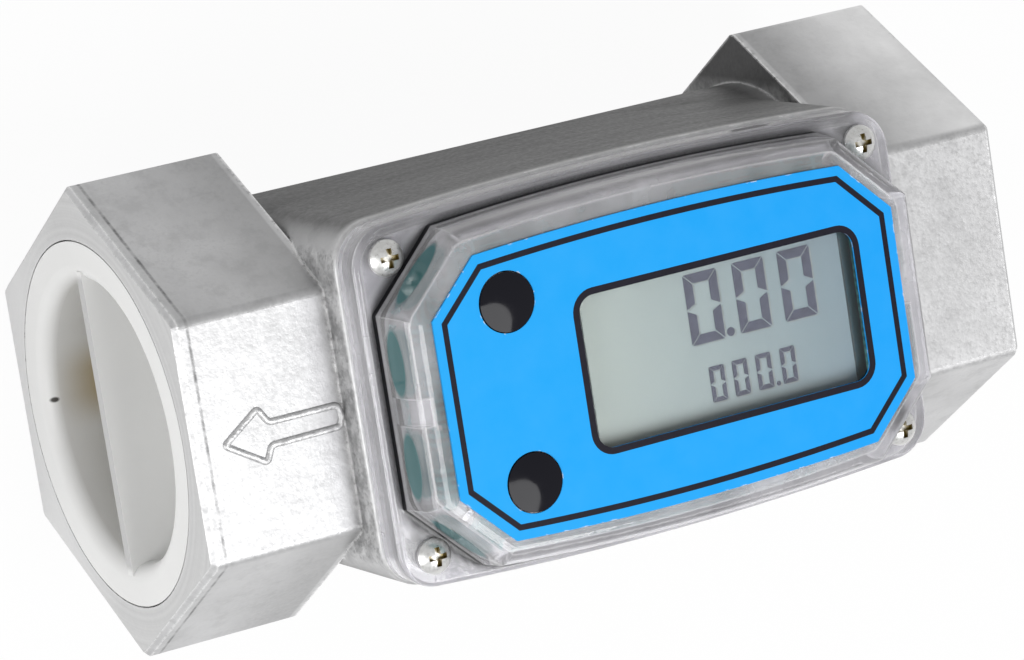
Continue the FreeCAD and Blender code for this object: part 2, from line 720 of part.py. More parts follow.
def make_rotor():
    body = new_body("turbine_rotor", x=rotor_x)
    half = size.RotorLength / 2
    hub_section = new_sketch(body, "hub_section", "XZ_Plane")
    clear = size.ShaftRadius + size.RunningGap * 6
    recess = size.BearingRadius + size.FitGap
    bearing_step = half - size.BearingLength
    draw(hub_section, [
        (-half, recess), (-bearing_step, recess), (-bearing_step, clear),
        (bearing_step, clear), (bearing_step, recess), (half, recess),
        (half, size.HubRadius), (-half, size.HubRadius),
    ])
    turn(body, "hub", hub_section)

    blade_section = new_sketch(body, "blade_section", "XZ_Plane")
    root = (size.HubRadius + size.BearingRadius) / 2
    draw_rectangle(blade_section, -half, root, -half + size.BladeWidth, throat_radius - size.TipGap)
    blade = body.newObject("PartDesign::AdditiveHelix", "blade")
    blade.Profile = blade_section
    blade.ReferenceAxis = (origin_part(body, "X_Axis"), [""])
    blade.Mode = "pitch-height-angle"
    bind(blade, "Pitch", size.BladePitch)
    bind(blade, "Height", size.RotorLength - size.BladeWidth)
    repeat_round(body, "blades", [blade], size.BladeCount)

    magnet_outline = new_sketch(body, "magnet_outline", "YZ_Plane", -half)
    for side in (-1, 1):
        draw_circle(magnet_outline, 0, side * magnet_place, size.MagnetRadius + size.FitGap)
    pocket(body, "magnet_holes", magnet_outline, size.MagnetLength, reverse=True)
    return body


def make_magnets():
    body = new_body("upper_magnet", x=rotor_x - size.RotorLength / 2, z=magnet_place)
    outline = new_sketch(body, "magnet_outline", "YZ_Plane")
    draw_circle(outline, 0, 0, size.MagnetRadius)
    pad(body, "magnet", outline, size.MagnetLength)
    turned = doc.addObject("Part::Mirroring", "lower_magnet")
    turned.Source = body
    turned.Normal = Vector(0, 0, 1)
    bind(turned, "Base.z", axis_height)
    return together("rotor_magnets", [body, turned])


def make_shaft():
    body = new_body("rotor_shaft", x=throat_outlet - shaft_hold)
    outline = new_sketch(body, "shaft_outline", "YZ_Plane")
    draw_circle(outline, 0, 0, size.ShaftRadius)
    pad(body, "shaft", outline, throat_inlet - throat_outlet + 2 * shaft_hold)
    return body


def make_tube(name, x, length, inner, outer):
    """A plain bush or washer on the pipe axis."""
    body = new_body(name, x=x)
    outline = new_sketch(body, "outline", "YZ_Plane")
    draw_circle(outline, 0, 0, outer)
    draw_circle(outline, 0, 0, inner)
    pad(body, "tube", outline, length)
    return body


def make_bushes():
    half = size.RotorLength / 2
    inner = size.ShaftRadius + size.RunningGap
    inlet = make_tube("inlet_bush", rotor_x + half - size.BearingLength,
                      size.BearingLength, inner, size.BearingRadius)
    outlet = make_tube("outlet_bush", rotor_x - half, size.BearingLength, inner,
                       size.BearingRadius)
    return together("rotor_bushes", [inlet, outlet])


def make_washers():
    inner = size.ShaftRadius + size.FitGap
    inlet = make_tube("inlet_washer", throat_inlet - size.WasherThickness,
                      size.WasherThickness, inner, size.BearingRadius)
    outlet = make_tube("outlet_washer", throat_outlet, size.WasherThickness, inner,
                       size.BearingRadius)
    return together("thrust_washers", [inlet, outlet])


# ---------------------------------------------------------------- outlet plug

def make_outlet_plug():
    """Push-in cup whose flange fills the gasket seat, with a web to grip it by."""
    body = new_body("outlet_plug", x=-half_length)
    inner = plug_radius - size.PlugWall
    flange = seat_radius - size.PlugSeatGap
    bottom = size.PlugDepth - size.PlugBase
    mouth = size.PlugMouthRound
    cup_section = new_sketch(body, "cup_section", "XZ_Plane")
    draw(cup_section, [
        (bottom, 0), (size.PlugDepth, 0), (size.PlugDepth, plug_radius),
        (size.SeatDepth, plug_radius), (size.SeatDepth, flange), (0, flange),
        (0, inner + mouth), (mouth, inner), (bottom, inner),
    ], {6: mouth})
    turn(body, "cup", cup_section)

    web_outline = new_sketch(body, "web_outline", "XY_Plane")
    reach = inner + size.PlugWall / 2
    draw_rectangle(web_outline, 0, -reach, bottom + size.PlugBase / 2, reach)
    pad(body, "web", web_outline, size.WebThickness, midplane=True)
    return body


# ---------------------------------------------------------------- cover, label, buttons

def make_gasket():
    body = new_body("cover_gasket")
    outline = new_sketch(body, "outline", "XY_Plane", plateau_top - size.GasketDepth)
    draw_dome(outline, size.GasketInset - size.GasketWidth + size.GasketSideGap)
    draw_dome(outline, size.GasketInset - size.GasketSideGap)
    pad(body, "seal", outline, size.GasketDepth + size.CoverGap)
    return body


def make_display_cover():
    """Clear cover: a skirt round the boss, a flange and a drafted dome, hollow inside."""
    body = new_body("display_cover")
    flange_outline = new_sketch(body, "flange_outline", "XY_Plane", cover_bottom)
    draw_rounded(flange_outline, flange_half_length, flange_half_width, size.FlangeCorner,
                 size.FlangeBow)
    flange = pad(body, "flange", flange_outline, flange_top - cover_bottom)
    round_edges(body, "flange_edge_round", flange,
                lambda edge: spans(edge, 2, (flange_top.value,)), size.PlateEdgeRound)

    dome_foot = new_sketch(body, "dome_foot", "XY_Plane", flange_top)
    draw_dome(dome_foot)
    dome_crown = new_sketch(body, "dome_crown", "XY_Plane", dome_top)
    draw_dome(dome_crown, size.DomeDraft)
    dome = body.newObject("PartDesign::AdditiveLoft", "dome")
    dome.Profile = dome_foot
    dome.Sections = [dome_crown]
    dome.Ruled = True
    round_edges(body, "dome_edge_round", dome,
                lambda edge: spans(edge, 2, (dome_top.value,)), size.DomeEdgeRound)

    skirt_outline = new_sketch(body, "skirt_outline", "XY_Plane", cover_bottom)
    draw_rounded(skirt_outline, flange_half_length - size.SkirtWidth,
                 flange_half_width - size.SkirtWidth, size.FlangeCorner - size.SkirtWidth,
                 size.FlangeBow)
    pocket(body, "skirt_recess", skirt_outline, size.PlateauStep, reverse=True)
    cavity_outline = new_sketch(body, "cavity_outline", "XY_Plane", plate_bottom)
    draw_dome(cavity_outline, size.CoverWall)
    cavity = pocket(body, "cavity", cavity_outline, ceiling - plate_bottom, reverse=True)
    round_edges(body, "cavity_corner_rounds", cavity,
                lambda edge: stands_between(edge, plate_bottom.value, ceiling.value),
                size.CavityCornerRound)

    rib_outline = new_sketch(body, "rib_outline", "XY_Plane", plate_bottom)
    rib_end = size.DomeHalfLength - size.CoverWall
    for near, far in ((rib_end - size.RibDepth, rib_end), (-rib_end, size.RibDepth - rib_end)):
        draw_rectangle(rib_outline, near, -size.RibWidth / 2, far, size.RibWidth / 2)
    pad(body, "locating_ribs", rib_outline, ceiling - plate_bottom)

    button_outline = new_sketch(body, "button_hole_outline", "XY_Plane", dome_top)
    screw_outline = new_sketch(body, "screw_hole_outline", "XY_Plane", flange_top)
    for side_y in (-1, 1):
        draw_circle(button_outline, button_x, side_y * button_y,
                    size.ButtonRadius + size.ButtonGap)
        for side_x in (-1, 1):
            draw_circle(screw_outline, side_x * screw_x, side_y * screw_y,
                        size.ScrewRadius + size.ScrewGap)
    pocket(body, "button_holes", button_outline, size.CeilingThickness)
    pocket(body, "screw_holes", screw_outline, size.PlateThickness)
    return body


def make_face_label():
    body = new_body("face_label")
    outline = new_sketch(body, "outline", "XY_Plane", dome_top)
    draw_octagon(outline, label_half_length, label_half_width, size.LabelCut,
                 size.LabelBow)
    draw_rounded(outline, window_half_length, size.WindowHalfWidth, size.WindowCorner,
                 centre=window_x)
    for side in (-1, 1):
        draw_circle(outline, button_x, side * button_y,
                    size.ButtonRadius + size.ButtonGap)
    pad(body, "sheet", outline, size.LabelThickness)
    return body


def make_button(name, side):
    """Domed button with a lip under the cover and a stem over its switch."""
    body = new_body(name, x=button_x, y=side * button_y)
    stem_end = switch_top + size.ButtonTravel + size.PressGap
    edge = label_top + size.ButtonEdge
    crown = label_top + size.ButtonCrown
    lip = size.ButtonRadius + size.ButtonLip
    section = new_sketch(body, "section", "XZ_Plane")
    draw(section, [
        (0, stem_end), (size.StemRadius, stem_end), (size.StemRadius, lip_bottom),
        (lip, lip_bottom), (lip, lip_top), (size.ButtonRadius, lip_top),
        (size.ButtonRadius, edge), (0, crown),
    ], {6: bow_radius(size.ButtonRadius, crown - edge)})
    turn(body, "button", section, "Z_Axis")
    return body


def make_switch(name, side):
    body = new_body(name, x=button_x, y=side * button_y, z=board_top)
    half = size.SwitchSide / 2
    switch_height = switch_top - board_top
    case_outline = new_sketch(body, "case_outline", "XY_Plane")
    draw_rectangle(case_outline, -half, -half, half, half)
    pad(body, "case", case_outline, switch_height - size.PlungerHeight)
    plunger_outline = new_sketch(body, "plunger_outline", "XY_Plane")
    draw_circle(plunger_outline, 0, 0, size.PlungerRadius)
    pad(body, "plunger", plunger_outline, switch_height)
    return body


def make_screw(name, x, y, seat, radius, length, head_radius, head_height):
    """Pan head screw with a cross recess, standing with its head above the seat."""
    body = new_body(name, x=x, y=y, z=seat)
    edge = head_height * size.HeadEdge
    section = new_sketch(body, "section", "XZ_Plane")
    draw(section, [
        (0, -length), (radius, -length), (radius, 0), (head_radius, 0),
        (head_radius, edge), (0, head_height),
    ], {4: bow_radius(head_radius, head_height - edge)})
    turn(body, "screw", section, "Z_Axis")
    long_side = head_radius * size.RecessLength
    short_side = head_radius * size.RecessWidth
    for label, half_x, half_y in (("along", long_side, short_side),
                                  ("across", short_side, long_side)):
        slot_outline = new_sketch(body, "recess_" + label, "XY_Plane", head_height)
        draw_rectangle(slot_outline, -half_x, -half_y, half_x, half_y)
        pocket(body, "recess_cut_" + label, slot_outline, head_height * size.RecessDepth)
    return body


def make_cover_screws():
    screw = make_screw("cover_screw", screw_x, screw_y, flange_top,
                       size.ScrewRadius, flange_top - plateau_top + size.ScrewReach,
                       size.HeadRadius, size.HeadHeight)
    return mirrored_group("cover_screws", screw, (ACROSS, ALONG))


def make_board_screws():
    screw = make_screw("board_screw", post_x, post_y, board_top,
                       size.BoardScrewRadius, size.BoardThickness + size.BoardScrewReach,
                       size.BoardHeadRadius, size.BoardHeadHeight)
    return mirrored_group("board_screws", screw, (ACROSS, ALONG))


# ---------------------------------------------------------------- display and board

def make_block(name, x, y, bottom, half_x, half_y, height):
    body = new_body(name, x=x, y=y, z=bottom)
    outline = new_sketch(body, "outline", "XY_Plane")
    draw_rectangle(outline, -half_x, -half_y, half_x, half_y)
    pad(body, "block", outline, height)
    return body


def make_circuit_board():
    body = new_body("circuit_board", z=board_bottom)
    outline = new_sketch(body, "outline", "XY_Plane")
    draw_dome(outline, size.BoardInset)
    pad(body, "board", outline, size.BoardThickness)
    cuts = new_sketch(body, "cut_outline", "XY_Plane", size.BoardThickness)
    for side_x in (-1, 1):
        for side_y in (-1, 1):
            draw_circle(cuts, side_x * post_x, side_y * post_y,
                        size.BoardScrewRadius + size.ScrewGap)
    notch = size.DomeHalfLength - size.CoverWall - size.RibDepth - size.NotchGap
    half_width = size.RibWidth / 2 + size.NotchGap
    draw_rectangle(cuts, notch, -half_width, size.DomeHalfLength, half_width)
    draw_rectangle(cuts, -size.DomeHalfLength, -half_width, -notch, half_width)
    pocket(body, "holes_and_notches", cuts, size.BoardThickness)
    return body


def make_display_holder():
    """Frame round the glass, with a ledge under each of its short ends."""
    body = new_body("display_holder", x=window_x, z=board_top)
    half_x = glass_half_length + size.HolderGap
    half_y = size.GlassHalfWidth + size.HolderGap
    wall = size.HolderWall
    wall_outline = new_sketch(body, "wall_outline", "XY_Plane")
    draw_rectangle(wall_outline, -half_x - wall, -half_y - wall, half_x + wall, half_y + wall)
    draw_rectangle(wall_outline, -half_x, -half_y, half_x, half_y)
    pad(body, "walls", wall_outline, glass_top - board_top)
    ledge_outline = new_sketch(body, "ledge_outline", "XY_Plane")
    draw_rectangle(ledge_outline, -half_x - wall / 2, -half_y, wall - half_x, half_y)
    draw_rectangle(ledge_outline, half_x - wall, -half_y, half_x + wall / 2, half_y)
    pad(body, "ledges", ledge_outline, glass_bottom - board_top)
    return body


def make_display_glass():
    return make_block("display_glass", window_x, 0, glass_bottom,
                      glass_half_length, size.GlassHalfWidth, size.GlassThickness)


def make_reflector():
    return make_block("display_reflector", window_x, 0,
                      glass_bottom - size.BackingThickness,
                      glass_half_length - 2 * size.HolderWall,
                      size.GlassHalfWidth - 1.5 * size.StripWidth, size.BackingThickness)


def make_contact_strips():
    place = size.GlassHalfWidth - size.StripWidth / 2
    strip = make_block("contact_strip", window_x, place, board_top,
                       glass_half_length - 2 * size.HolderWall, size.StripWidth / 2,
                       glass_bottom - board_top)
    return mirrored_group("contact_strips", strip, (ACROSS,))


def make_controller_chip():
    half = size.ChipSide / 2
    return make_block("controller_chip", window_x, 0, board_top, half, half,
                      size.ChipHeight)


def make_clock_crystal():
    """Can of the clock crystal, lying across the board between the two switches."""
    body = new_body("clock_crystal", x=button_x, z=board_top + size.CrystalRadius)
    outline = new_sketch(body, "outline", "XZ_Plane")
    draw_circle(outline, 0, 0, size.CrystalRadius)
    pad(body, "can", outline, size.CrystalLength, midplane=True)
    return body


def make_capacitor():
    body = new_body("storage_capacitor", x=post_x - size.CapacitorMargin,
                    z=board_bottom - size.CapacitorHeight)
    outline = new_sketch(body, "outline", "XY_Plane")
    draw_circle(outline, 0, 0, size.CapacitorRadius)
    pad(body, "can", outline, size.CapacitorHeight)
    return body


# ---------------------------------------------------------------- batteries

def make_battery(name, y, turned):
    """One cell. Its flat end stands on the spring and its cap meets the far contact."""
    spring_room = size.ContactGauge + size.SpringLength
    x = far_wall - spring_room if turned else near_wall + spring_room
    body = new_body(name, x=x, y=y, z=battery_height, turned=turned)
    section = new_sketch(body, "section", "XZ_Plane")
    full = size.BatteryLength + size.BatteryCap
    draw(section, [
        (0, 0), (full, 0), (full, size.BatteryCapRadius),
        (size.BatteryLength, size.BatteryCapRadius),
        (size.BatteryLength, size.BatteryRadius), (0, size.BatteryRadius),
    ])
    turn(body, "cell", section)
    return body


def make_contact(name, y, turned, sprung):
    """Contact plate with a tail up to the board. A sprung one carries a coil spring."""
    x = far_wall if turned else near_wall
    body = new_body(name, x=x, y=y, z=tray_floor, turned=turned)
    half = size.ContactWidth / 2
    plate_outline = new_sketch(body, "plate_outline", "YZ_Plane")
    draw_rectangle(plate_outline, -half, 0, half, board_bottom - tray_floor)
    pad(body, "plate", plate_outline, size.ContactGauge)
    if sprung:
        wire_outline = new_sketch(body, "wire_outline", "XZ_Plane")
        draw_circle(wire_outline, size.ContactGauge + size.WireRadius * 0.9,
                    size.BatteryRadius + size.SpringRadius, size.WireRadius)
        axis_sketch = new_sketch(body, "spring_axis", "XZ_Plane")
        line = axis_sketch.addGeometry(
            Part.LineSegment(Vector(0, size.BatteryRadius.value, 0),
                             Vector(1, size.BatteryRadius.value, 0)), False)
        pin_point(axis_sketch, line, 1, 0, size.BatteryRadius)
        pin_point(axis_sketch, line, 2, size.SpringLength, size.BatteryRadius)
        coil = body.newObject("PartDesign::AdditiveHelix", "coil")
        coil.Profile = wire_outline
        coil.ReferenceAxis = (axis_sketch, ["Edge1"])
        coil.Mode = "height-turns-angle"
        coil.Turns = 1.5
        bind(coil, "Height", size.SpringLength - size.WireRadius * 1.9)
    return body


def make_battery_tray():
    """Open tray: a floor, low side walls and two end walls."""
    body = new_body("battery_tray", x=tray_start, z=pocket_floor)
    half = tray_half_width
    length = tray_end - tray_start
    outline = new_sketch(body, "outline", "XY_Plane")
    draw_rectangle(outline, 0, -half, length, half)
    pad(body, "tray", outline, size.TrayWall + 1.5 * size.BatteryRadius)
    inside = new_sketch(body, "inside_outline", "XY_Plane", size.TrayWall)
    draw_rectangle(inside, size.TrayWall, size.TrayWall - half, length - size.TrayWall,
                   half - size.TrayWall)
    pocket(body, "inside", inside, 1.5 * size.BatteryRadius, reverse=True)
    return body


def make_batteries():
    """Two cells, nose to tail, and the contacts at their ends."""
    upper = battery_y
    lower = -battery_y
    return [
        make_battery("battery_1", upper, False),
        make_battery("battery_2", lower, True),
        together("negative_springs", [make_contact("spring_1", upper, False, True),
                                      make_contact("spring_2", lower, True, True)]),
        together("positive_contacts", [make_contact("contact_1", lower, False, False),
                                       make_contact("contact_2", upper, True, False)]),
        make_battery_tray(),
    ]


# ---------------------------------------------------------------- pickup coil

def make_pickup_spool():
    """Spool of the coil, with two pins up to the board."""
    body = new_body("pickup_spool", x=rotor_x, z=well_bottom)
    wall = size.SpoolWall
    inner = size.CoreRadius + size.FitGap
    section = new_sketch(body, "section", "XZ_Plane")
    draw(section, [
        (inner, 0), (size.CoilRadius, 0), (size.CoilRadius, wall), (inner + wall, wall),
        (inner + wall, size.CoilHeight - wall), (size.CoilRadius, size.CoilHeight - wall),
        (size.CoilRadius, size.CoilHeight), (inner, size.CoilHeight),
    ])
    turn(body, "spool", section, "Z_Axis")
    pins = new_sketch(body, "pin_outline", "XY_Plane", size.CoilHeight - wall / 2)
    pin_place = (size.CoilRadius + size.CoreRadius) / 2
    draw_circle(pins, 0, pin_place, size.WireRadius)
    draw_circle(pins, 0, -pin_place, size.WireRadius)
    pad(body, "pins", pins, board_bottom - well_bottom - size.CoilHeight + wall / 2)
    return body


def make_pickup_winding():
    body = new_body("pickup_winding", x=rotor_x,
                    z=well_bottom + size.SpoolWall)
    outline = new_sketch(body, "outline", "XY_Plane")
    draw_circle(outline, 0, 0, size.CoilRadius - size.CoilSeatGap)
    draw_circle(outline, 0, 0, size.CoreRadius + size.SpoolWall + 2 * size.FitGap)
    pad(body, "winding", outline, size.CoilHeight - 2 * size.SpoolWall)
    return body


def make_pickup_core():
    body = new_body("pickup_core", x=rotor_x, z=well_bottom)
    outline = new_sketch(body, "outline", "XY_Plane")
    draw_circle(outline, 0, 0, size.CoreRadius)
    pad(body, "core", outline, size.CoilHeight)
    return body


# ---------------------------------------------------------------- build and write

def make_all():
    outlet_ring = throat_outlet - support_length - size.RetainerThickness
    return [
        make_meter_body(),
        make_support("inlet_support", throat_inlet, 1),
        make_support("outlet_support", throat_outlet, -1),
        make_retainer("inlet_retaining_ring", retainer_x),
        make_retainer("outlet_retaining_ring", outlet_ring),
        make_rotor(),
        make_bushes(),
        make_magnets(),
        make_shaft(),
        make_washers(),
        make_outlet_plug(),
        make_gasket(),
        make_display_cover(),
        make_face_label(),
        make_cover_screws(),
        make_button("upper_button", 1),
        make_button("lower_button", -1),
        make_switch("upper_switch", 1),
        make_switch("lower_switch", -1),
        make_circuit_board(),
        make_board_screws(),
        make_display_holder(),
        make_display_glass(),
        make_reflector(),
        make_contact_strips(),
        make_controller_chip(),
        make_clock_crystal(),
        make_capacitor(),
        *make_batteries(),
        make_pickup_spool(),
        make_pickup_winding(),
        make_pickup_core(),
    ]


def check(item):
    if "Invalid" in item.State or "Error" in item.State:
        raise RuntimeError("%s did not build" % item.Label)
    shape = getattr(item, "Shape", None)
    if item.TypeId.startswith(("PartDesign::Body", "Part::")):
        if shape is None or shape.isNull() or not shape.isValid() or not shape.Solids:
            raise RuntimeError("%s has no sound solid" % item.Label)


pieces = make_all()
doc.recompute()
for item in doc.Objects:
    check(item)
os.makedirs("parts", exist_ok=True)
for piece in pieces:
    piece.Shape.exportStep("parts/%s.step" % piece.Label)
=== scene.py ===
import math

import bmesh
import bpy
from bpy.props import FloatProperty, FloatVectorProperty, PointerProperty
from bpy.types import Operator, Panel, PropertyGroup
from mathutils import Matrix, Vector


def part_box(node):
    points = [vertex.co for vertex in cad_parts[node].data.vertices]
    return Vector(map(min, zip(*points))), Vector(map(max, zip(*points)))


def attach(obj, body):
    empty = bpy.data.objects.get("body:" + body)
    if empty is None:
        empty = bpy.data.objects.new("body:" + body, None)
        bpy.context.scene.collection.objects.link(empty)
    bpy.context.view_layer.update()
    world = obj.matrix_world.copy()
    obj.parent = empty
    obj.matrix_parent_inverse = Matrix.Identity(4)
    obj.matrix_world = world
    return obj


bl_info = {
    "name": "Turbine Flow Meter",
    "version": (1, 0, 0),
    "blender": (4, 5, 0),
    "location": "View3D > Sidebar > Flow Meter",
    "description": "Dresses a digital turbine flow meter: casting, clear cover, label and display",
    "category": "Object",
}

MM = 0.001

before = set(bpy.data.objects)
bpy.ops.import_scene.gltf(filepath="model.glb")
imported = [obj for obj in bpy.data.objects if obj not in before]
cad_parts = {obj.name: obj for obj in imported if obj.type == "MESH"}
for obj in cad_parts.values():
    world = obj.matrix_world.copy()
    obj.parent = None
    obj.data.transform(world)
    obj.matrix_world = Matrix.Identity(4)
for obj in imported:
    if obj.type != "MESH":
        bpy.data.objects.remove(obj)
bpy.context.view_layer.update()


# ---------------------------------------------------------------- properties

def length(name, description, millimetres):
    """A length property, given here in millimetres and kept in metres."""
    return FloatProperty(name=name, description=description, default=millimetres * MM,
                         unit="LENGTH", subtype="DISTANCE", precision=5)


def colour(name, description, red, green, blue):
    """A colour property."""
    return FloatVectorProperty(name=name, description=description, subtype="COLOR", size=3,
                               min=0.0, max=1.0, default=(red, green, blue))


class MeterSizes(PropertyGroup):
    """Sizes of the threads, the cast arrow, the printed lines and the digits."""

    thread_pitch: length("Thread pitch", "Pitch of the pipe thread", 2.309)
    thread_depth: length("Thread depth", "Height of the thread ridge", 1.45)
    arrow_line: length("Arrow line", "Width of the cast line that draws the arrow", 0.95)
    arrow_height: length("Arrow height", "Height of the cast arrow", 0.38)
    print_height: length("Print height", "Thickness of the printed lines", 0.03)
    border_inset: length("Border inset", "Border line inside the label's edge", 1.25)
    border_line: length("Border line", "Width of the border line", 0.78)
    window_line: length("Window line", "Width of the line round the window", 0.9)
    digit_line: length("Digit line", "Width of the bars of the large digits", 1.3)
    small_digit_line: length("Small digit line", "Width of the bars of the small digits", 0.62)


class MeterColours(PropertyGroup):
    """Colours a user would change."""

    casting: colour("Casting", "Cast aluminium", 0.62, 0.62, 0.625)
    plug: colour("Plug", "White plug", 0.87, 0.87, 0.86)
    label: colour("Label", "Printed face", 0.010, 0.385, 0.90)
    ink: colour("Ink", "Printed lines", 0.006, 0.005, 0.012)
    screen: colour("Screen", "Display behind the digits", 0.27, 0.315, 0.29)
    digits: colour("Digits", "Display digits", 0.045, 0.05, 0.075)
    button: colour("Buttons", "Push buttons", 0.008, 0.008, 0.012)
    board: colour("Board", "Circuit board", 0.01, 0.16, 0.16)
    cover: colour("Cover", "Tint of the clear cover", 0.90, 0.895, 0.92)
    gasket: colour("Gasket", "Seal under the cover", 0.42, 0.42, 0.43)


def sizes():
    """The sizes as the sidebar has them."""
    return bpy.context.scene.meter_sizes


def colours():
    """The colours as the sidebar has them."""
    return bpy.context.scene.meter_colours


# ---------------------------------------------------------------- material helpers

class Shader:
    """A node material under construction, around one Principled BSDF."""

    def __init__(self, name, base, roughness=0.5, metallic=0.0):
        self.material = bpy.data.materials.new(name)
        self.material.use_nodes = True
        self.tree = self.material.node_tree
        self.surface = self.tree.nodes["Principled BSDF"]
        self.set("Base Color", (*base, 1.0))
        self.set("Roughness", roughness)
        self.set("Metallic", metallic)
        self.place = self.add("ShaderNodeTexCoord").outputs["Object"]

    def set(self, socket, value):
        self.surface.inputs[socket].default_value = value

    def add(self, kind, inputs=None, **settings):
        """Adds a node. Inputs are values or output sockets to link."""
        node = self.tree.nodes.new(kind)
        for key, value in settings.items():
            setattr(node, key, value)
        for key, value in (inputs or {}).items():
            self.feed(node.inputs[key], value)
        return node

    def feed(self, socket, value):
        if isinstance(value, bpy.types.NodeSocket):
            self.tree.links.new(value, socket)
        else:
            socket.default_value = value

    def noise(self, scale, detail=4.0, roughness=0.55, place=None):
        """Noise with its grain counted per metre of the piece."""
        return self.add("ShaderNodeTexNoise", {
            "Vector": place or self.place, "Scale": scale, "Detail": detail,
            "Roughness": roughness,
        }).outputs["Fac"]

    def spread(self, value, low, high, to_low=0.0, to_high=1.0, smooth=False):
        """Maps a value between two levels on to two others, and holds it there."""
        return self.add("ShaderNodeMapRange", {
            "Value": value, "From Min": low, "From Max": high, "To Min": to_low,
            "To Max": to_high,
        }, interpolation_type="SMOOTHSTEP" if smooth else "LINEAR").outputs["Result"]

    def math(self, operation, first, second=0.0):
        return self.add("ShaderNodeMath", {0: first, 1: second}, operation=operation).outputs[0]

    def times(self, *values):
        """Product of the values. Of shares, it is their overlap."""
        product = values[0]
        for value in values[1:]:
            product = self.math("MULTIPLY", product, value)
        return product

    def minus(self, first, second):
        return self.math("SUBTRACT", first, second)

    def most(self, *values):
        """The largest of the values. Of shares, it is their union."""
        largest = values[0]
        for value in values[1:]:
            largest = self.math("MAXIMUM", largest, value)
        return largest

    def magnitude(self, value):
        """The value without its sign."""
        return self.math("ABSOLUTE", value)

    def rest(self, share):
        """What is left of 1 beside a share."""
        return self.minus(1.0, share)

    def distance(self, first, second):
        """Length of the line that is this long in two directions at right angles."""
        both = self.add("ShaderNodeCombineXYZ", {"X": first, "Y": second})
        return self.add("ShaderNodeVectorMath", {0: both.outputs[0]},
                        operation="LENGTH").outputs["Value"]

    def mix(self, amount, first, second):
        """Mixes two colours."""
        node = self.add("ShaderNodeMix", data_type="RGBA")
        self.feed(node.inputs["Factor"], amount)
        self.feed(node.inputs["A"], rgba(first))
        self.feed(node.inputs["B"], rgba(second))
        return node.outputs["Result"]

    def axis(self, name):
        """Place of a point along X, Y or Z."""
        return self.add("ShaderNodeSeparateXYZ", {0: self.place}).outputs[name]

    def facing(self, name):
        """How far a face turns towards X, Y or Z: 1 straight towards it, -1 straight away."""
        normal = self.add("ShaderNodeNewGeometry").outputs["Normal"]
        return self.add("ShaderNodeSeparateXYZ", {0: normal}).outputs[name]

    def bump(self, height, strength, distance, onto=None):
        inputs = {"Height": height, "Strength": strength, "Distance": distance}
        if onto is not None:
            inputs["Normal"] = onto
        return self.add("ShaderNodeBump", inputs).outputs["Normal"]

    def open_share(self, reach, low, high):
        """How open a point's surroundings are within reach: 0 in a crease, 1 in the open."""
        seen = self.add("ShaderNodeAmbientOcclusion", {"Distance": reach}, samples=8,
                        only_local=True)
        return self.spread(seen.outputs["AO"], low, high, smooth=True)

    def edge_share(self, radius, low, high):
        """How near a point is to a sharp edge: 0 on a flat, 1 on the edge."""
        rounded = self.add("ShaderNodeBevel", {"Radius": radius}, samples=6).outputs["Normal"]
        true = self.add("ShaderNodeNewGeometry").outputs["Normal"]
        match = self.add("ShaderNodeVectorMath", {0: rounded, 1: true}, operation="DOT_PRODUCT")
        return self.spread(self.rest(match.outputs["Value"]), low, high, smooth=True)

    def let_lamps_through(self, tint):
        """Lamps shine straight through the surface, as they do through thin clear plastic."""
        rays = self.add("ShaderNodeLightPath")
        clear = self.add("ShaderNodeBsdfTransparent", {"Color": (*tint, 1.0)})
        mixed = self.add("ShaderNodeMixShader", {
            0: rays.outputs["Is Shadow Ray"], 1: self.surface.outputs["BSDF"],
            2: clear.outputs["BSDF"],
        })
        output = self.tree.nodes["Material Output"]
        self.tree.links.new(mixed.outputs["Shader"], output.inputs["Surface"])

    def finish(self, **links):
        """Links the given sockets of the surface, named with underscores for spaces."""
        for key, value in links.items():
            self.feed(self.surface.inputs[key.replace("_", " ")], value)
        return self.material


def rgba(value):
    """A colour for a socket: an output socket as it is, and three channels made opaque."""
    if isinstance(value, bpy.types.NodeSocket):
        return value
    return (*value, 1.0)


def grey(level):
    return (level, level, level)


def shade(base, factor):
    """A colour made darker or lighter."""
    return [min(channel * factor, 1.0) for channel in base]


# ---------------------------------------------------------------- places on the meter

# Distances along the pipe from the meter's middle: the port faces lie beyond NEAR_PORT, and
# the boss's end walls within BOSS_END
NEAR_PORT = 61 * MM
BOSS_END = 41.3 * MM
MOULD_SEAM = 60.9 * MM

# The cover's dome, as the solids have it
DOME_HEIGHT = 7.7 * MM
DOME_HALF_LENGTH = 39.2 * MM
DOME_HALF_WIDTH = 22.6 * MM


def pipe_axis():
    """Height of the pipe's axis above the flats that the meter rests on."""
    low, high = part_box("outlet_plug")
    return (low[2] + high[2]) / 2


def off_middle(shader):
    """Distance along the pipe from the meter's middle."""
    return shader.magnitude(shader.axis("X"))


def over_axis(shader):
    """Height over the pipe's axis."""
    return shader.minus(shader.axis("Z"), pipe_axis())


def bore_radius(shader):
    """Distance from the pipe's axis."""
    return shader.distance(shader.axis("Y"), over_axis(shader))


def end_facing(shader):
    """1 on faces that look along the pipe, either way."""
    return shader.spread(shader.magnitude(shader.facing("X")), 0.85, 0.95)


def waist_share(shader):
    """1 on the pipe and the boss's sides between the hexagons, 0 above and beyond them."""
    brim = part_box("cover_gasket")[0][2]
    under = shader.spread(shader.axis("Z"), brim - 0.5 * MM, brim - 3.5 * MM, smooth=True)
    return shader.times(under, shader.spread(off_middle(shader), 41 * MM, 37.5 * MM, smooth=True))


def port_face_share(shader):
    """1 on the turned faces of both ports."""
    return shader.times(end_facing(shader),
                        shader.spread(off_middle(shader), NEAR_PORT - MM, NEAR_PORT))


